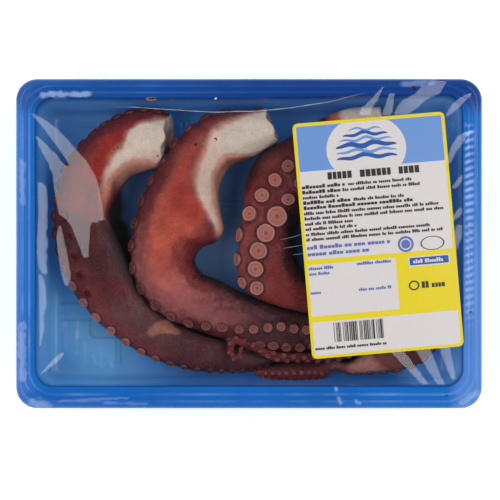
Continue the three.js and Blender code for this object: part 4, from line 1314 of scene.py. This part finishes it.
HEAD = 91.2
BOX = (1.5, 20.7, 44.5, 45.8)
print_piece("label_border", [rounded_sheet(0, 0, W, H, LABEL["corner"], 0)], INKS["yellow"], ["label"])
print_piece("label_paper_face", [
    rounded_sheet(BORDER, 48.2, W - BORDER, H - BORDER, LABEL["corner"] - 1.2, 1),
    rounded_sheet(*BOX, 0, 1),
    rounded_sheet(44.5, 48.1, 73, 48.3, 0, 1),
    rounded_sheet(BORDER, BORDER, W - BORDER, 17.8, 0.5, 1)], INKS["white"])

# %% [markdown]
# The header is a band of light blue with a sea of its own: a stack of waves, each a strip
# between two sine lines. The strip is a grid whose rows step from the lower line to the
# upper one, so the same few lines of code draw every wave.

# %% Header waves
def wave_sheet(u0, u1, v, height, length, phase, layer):
    """A strip between two lines of one sine wave, which come together at both ends."""
    u = np.linspace(u0, u1, 60)
    arch = np.sin(np.pi * np.linspace(0, 1, 60))
    share = np.linspace(0, 1, 4)[:, None]
    swing = 0.9 * np.sin(2 * np.pi * u / length + phase) * arch
    return on_label(u + 0 * share, v + swing + share * height * arch**0.4, layer)


inner = BORDER + 0.2
print_piece("label_header", [rounded_sheet(inner, HEAD, W - inner, H - inner, 0.8, 2)], INKS["sky"])
print_piece("label_oval", [arc_sheet(35, 100, 19.5, 16.5, 3, low=HEAD, high=H - inner)], INKS["white"])
print_piece("label_waves_blue", [
    wave_sheet(20, 50, 95.4, 2.2, 15, 0.0, 4), wave_sheet(20, 50, 101, 2.6, 13, 1.4, 4),
    wave_sheet(24, 46, 106.6, 1.8, 12, 2.4, 4)], INKS["blue"])
print_piece("label_waves_violet", [
    wave_sheet(20, 50, 98.4, 1.6, 14, 0.7, 4), wave_sheet(22, 48, 104.2, 1.4, 12, 1.9, 4),
    wave_sheet(27, 43, 109.4, 1.1, 11, 3.1, 4)], INKS["sky"])

# %% Text rows: end, foot, and how far a bold start reaches
draws = np.random.default_rng(8)
MARGIN, BOLD, PLAIN = 2, 1.75, 1.55
ROWS = [(56, 82.8, 24), (60, 80.2, 21), (19.5, 77.7, 0), (52, 75.1, 26), (56, 72.6, 56), (68, 70, 0),
        (70, 67.5, 0), (27, 64.9, 0), (27.5, 62.4, 0), (64, 59.8, 0), (69, 57.3, 0)]
black = []
for end, v, bold_to in ROWS:
    black += text_row(MARGIN, max(bold_to, MARGIN), v, BOLD, draws, letter=1.15)
    black += text_row(max(bold_to + 0.6, MARGIN), end, v, PLAIN, draws)
for u0, u1 in ((15, 28.8), (30.8, 47.8), (49.8, 60)):
    black += text_row(u0, u1, 86.4, 3.5, draws, word=(9, 10), letter=0.84, even=True)
black += [arc_sheet(52.5, 31.6, 2.6, 2.4, 3, 0.72)]
black += text_row(56.3, 60.6, 30, 3.2, draws, word=(9, 10), letter=0.62, even=True)
black += text_row(61.2, 69, 30, 3, draws, word=(9, 10), letter=0.62)
black += text_row(2, 37, 4.2, 1.4, draws, word=(5, 8))
print_piece("label_text_black", black, INKS["black"])
violet = text_row(2, 43, 53.2, 2.0, draws, letter=1.1) + text_row(2, 33, 50.0, 2.0, draws, letter=1.1)
for u0, u1, v in ((2, 14, 43.2), (2, 13, 40.6), (25.5, 42.2, 43.8), (2, 7.5, 31.4), (25.4, 42, 31.2)):
    violet += text_row(u0, u1, v, 1.5, draws)
violet += [arc_sheet(50.1, 52.0, 3.9, 3.9, 3, 0.72), arc_sheet(50.1, 52.0, 2.2, 2.2, 3)]
print_piece("label_text_violet", violet, INKS["violet"])

# %% Bar pattern, oval outline and the blue box of the lower field
BARS = {"start": 10, "end": 36.3, "foot": 7.4, "head": 16.8, "cells": 94, "edges": 58}
edges = np.sort(draws.choice(np.arange(1, BARS["cells"]), BARS["edges"], replace=False))
edges = edges * (BARS["end"] - BARS["start"]) / BARS["cells"] + BARS["start"]
bars = [rounded_sheet(u0, BARS["foot"], u1, BARS["head"], 0, 3, cell=9) for u0, u1 in edges.reshape(-1, 2)]
print_piece("label_bars", bars + [arc_sheet(63.2, 51.5, 5.9, 3.4, 3, 0.9)], INKS["black"])
print_piece("label_box_rim", [rounded_sheet(50.6, 40.8, 71.2, 45.6, 0.6, 2)], INKS["white"])
print_piece("label_box", [rounded_sheet(51.3, 41.4, 70.5, 45.0, 0.4, 3)], INKS["blue"])
print_piece("label_box_text", text_row(53, 69, 42.3, 1.9, draws), INKS["white"])

# %% [markdown]
# Where the shrunk film was pulled between the arms and the label it has one long crease. It
# is a narrow ribbon that follows the film, pale and cloudy: the fold is real, and its
# paleness is a painted reflection of the fold's shine. A few loose specks of food are
# caught between the film and the rim, and some lie on the arms. Each is a flat ellipsoid:
# rings of latitude between two poles.

# %% Creases: half width, then points x, y along the line
CREASES = [
    (0.22, [[-65.4, 66.5], [-55.6, 66.5], [-43.4, 65.5], [-28.8, 64.6], [-9.3, 64.1], [5.4, 64.8],
            [20, 66], [39.5, 69], [56.6, 73.8]]),
    (0.1, [[15, 1.6], [20, 2.5], [26.8, 4.5]]),
    (0.1, [[16.3, -2.7], [27.2, -0.8]]),
    (0.1, [[21.2, -5.7], [27.7, -5.1]]),
]
CREASE_STEPS = 240


def crease_strip(half_width, line):
    """A ribbon along a line of x and y, thin at both ends, just above the film."""
    x = np.linspace(line[0][0], line[-1][0], CREASE_STEPS)
    y = table(line, x) + 0.3 * noise(np.stack([x, 0 * x, 0 * x], -1), 9, 51)
    half = half_width * np.sin(np.pi * np.linspace(0, 1, CREASE_STEPS)) ** 0.4
    half *= 1 + 0.5 * noise(np.stack([x] * 3, -1), 5, 52)
    x, y = np.stack([x, x]), np.stack([y - half, y + half])
    return np.stack([x, y, film_height(x, y) + FILM["thickness"] + 0.03], -1)


# painted reflection: the crease's pale cloudiness stands for the fold's shine
crease_material, tree, output = new_material("crease_sheen_film")
cloud = use_group(tree, mottle_group, Size=2.0, Strength=0.8)
matt = node(tree, "BsdfDiffuse", {"Color": (0.62, 0.68, 0.8, 1)})
see_through = node(tree, "BsdfTransparent", {"Color": (1, 1, 1, 1)})
cover = node(tree, "MapRange", {"Value": cloud.outputs["Height"], "To Min": 0.15, "To Max": 0.6})
crease_mix = node(tree, "MixShader", {
    0: cover.outputs["Result"], 1: see_through.outputs[0], 2: matt.outputs[0]})
tree.links.new(crease_mix.outputs[0], output.inputs["Surface"])
crease_points, crease_faces = join_sheets([crease_strip(*crease) for crease in CREASES])
make_piece("film_crease", crease_points, crease_faces, [crease_material])

# %% Specks: x, y, lift, half length, half width, turn and colour
BROWN, WHITE, AMBER = colour(66, 34, 26), colour(226, 230, 240), colour(206, 132, 74)
SPECKS = [
    (-47.8, 70.7, 0, 2.6, 0.9, 0, AMBER), (-47.6, 70.8, 0.08, 2.0, 0.5, 0, BROWN),
    (-16.3, 70.9, 0, 0.7, 0.5, 20, WHITE), (80.5, 76.3, 0, 0.9, 0.6, 30, BROWN),
    (81.4, 75.2, 0, 0.5, 0.8, 0, BROWN), (108.3, -33.5, 0, 0.6, 0.4, 60, BROWN),
    (96.6, -74.4, 0, 0.6, 0.4, 0, BROWN), (-45.3, 43.7, 0, 0.5, 0.4, 0, BROWN),
    (-26.1, 48.7, 0, 0.9, 0.5, 25, BROWN), (-16.5, 51.6, 0, 0.6, 0.4, 0, BROWN),
    (-15.9, 51, 0, 0.3, 0.6, 0, BROWN), (-66.5, 46.5, 0, 0.6, 0.3, 30, BROWN),
    (-64.8, 47.4, 0, 0.5, 0.3, 0, BROWN),
]
SPECK_HALF_HEIGHT, SPECK_LATITUDE, SPECK_RINGS, SPECK_SIDES = 0.12, 60, 5, 12
FOOD = np.concatenate(bodies)


def speck_points(x, y, lift, half_long, half_wide, turn):
    """A flat ellipsoid on the rim or, inside the opening, on the highest food within a millimetre."""
    foot = TRAY["height"] + 0.15
    if abs(x) < TRAY["half_length"] - 4 and abs(y) < TRAY["half_width"] - 4:
        foot = FOOD[np.hypot(FOOD[:, 0] - x, FOOD[:, 1] - y) < 1, 2].max()
    latitude = np.radians(np.linspace(-SPECK_LATITUDE, SPECK_LATITUDE, SPECK_RINGS))[:, None]
    bearing = np.linspace(0, 2 * np.pi, SPECK_SIDES, endpoint=False)
    along = half_long * np.cos(latitude) * np.cos(bearing)
    across = half_wide * np.cos(latitude) * np.sin(bearing)
    cos, sin = math.cos(math.radians(turn)), math.sin(math.radians(turn))
    z = foot + lift + SPECK_HALF_HEIGHT * np.sin(latitude) + 0 * bearing
    rings = np.stack([x + along * cos - across * sin, y + along * sin + across * cos, z], -1)
    return np.vstack([rings.reshape(-1, 3), [x, y, z.min() - 0.02], [x, y, z.max() + 0.02]])


specks = np.stack([speck_points(*place) for *place, _ in SPECKS])
speck_tone = np.repeat([tint for *_, tint in SPECKS], specks.shape[1], axis=0)
speck_faces = closed_rings(SPECK_RINGS, SPECK_SIDES, len(SPECKS))
make_piece("food_specks", specks.reshape(-1, 3), speck_faces, [sucker_skin],
           attributes={"tone": speck_tone, "flesh": np.ones(len(speck_tone))})
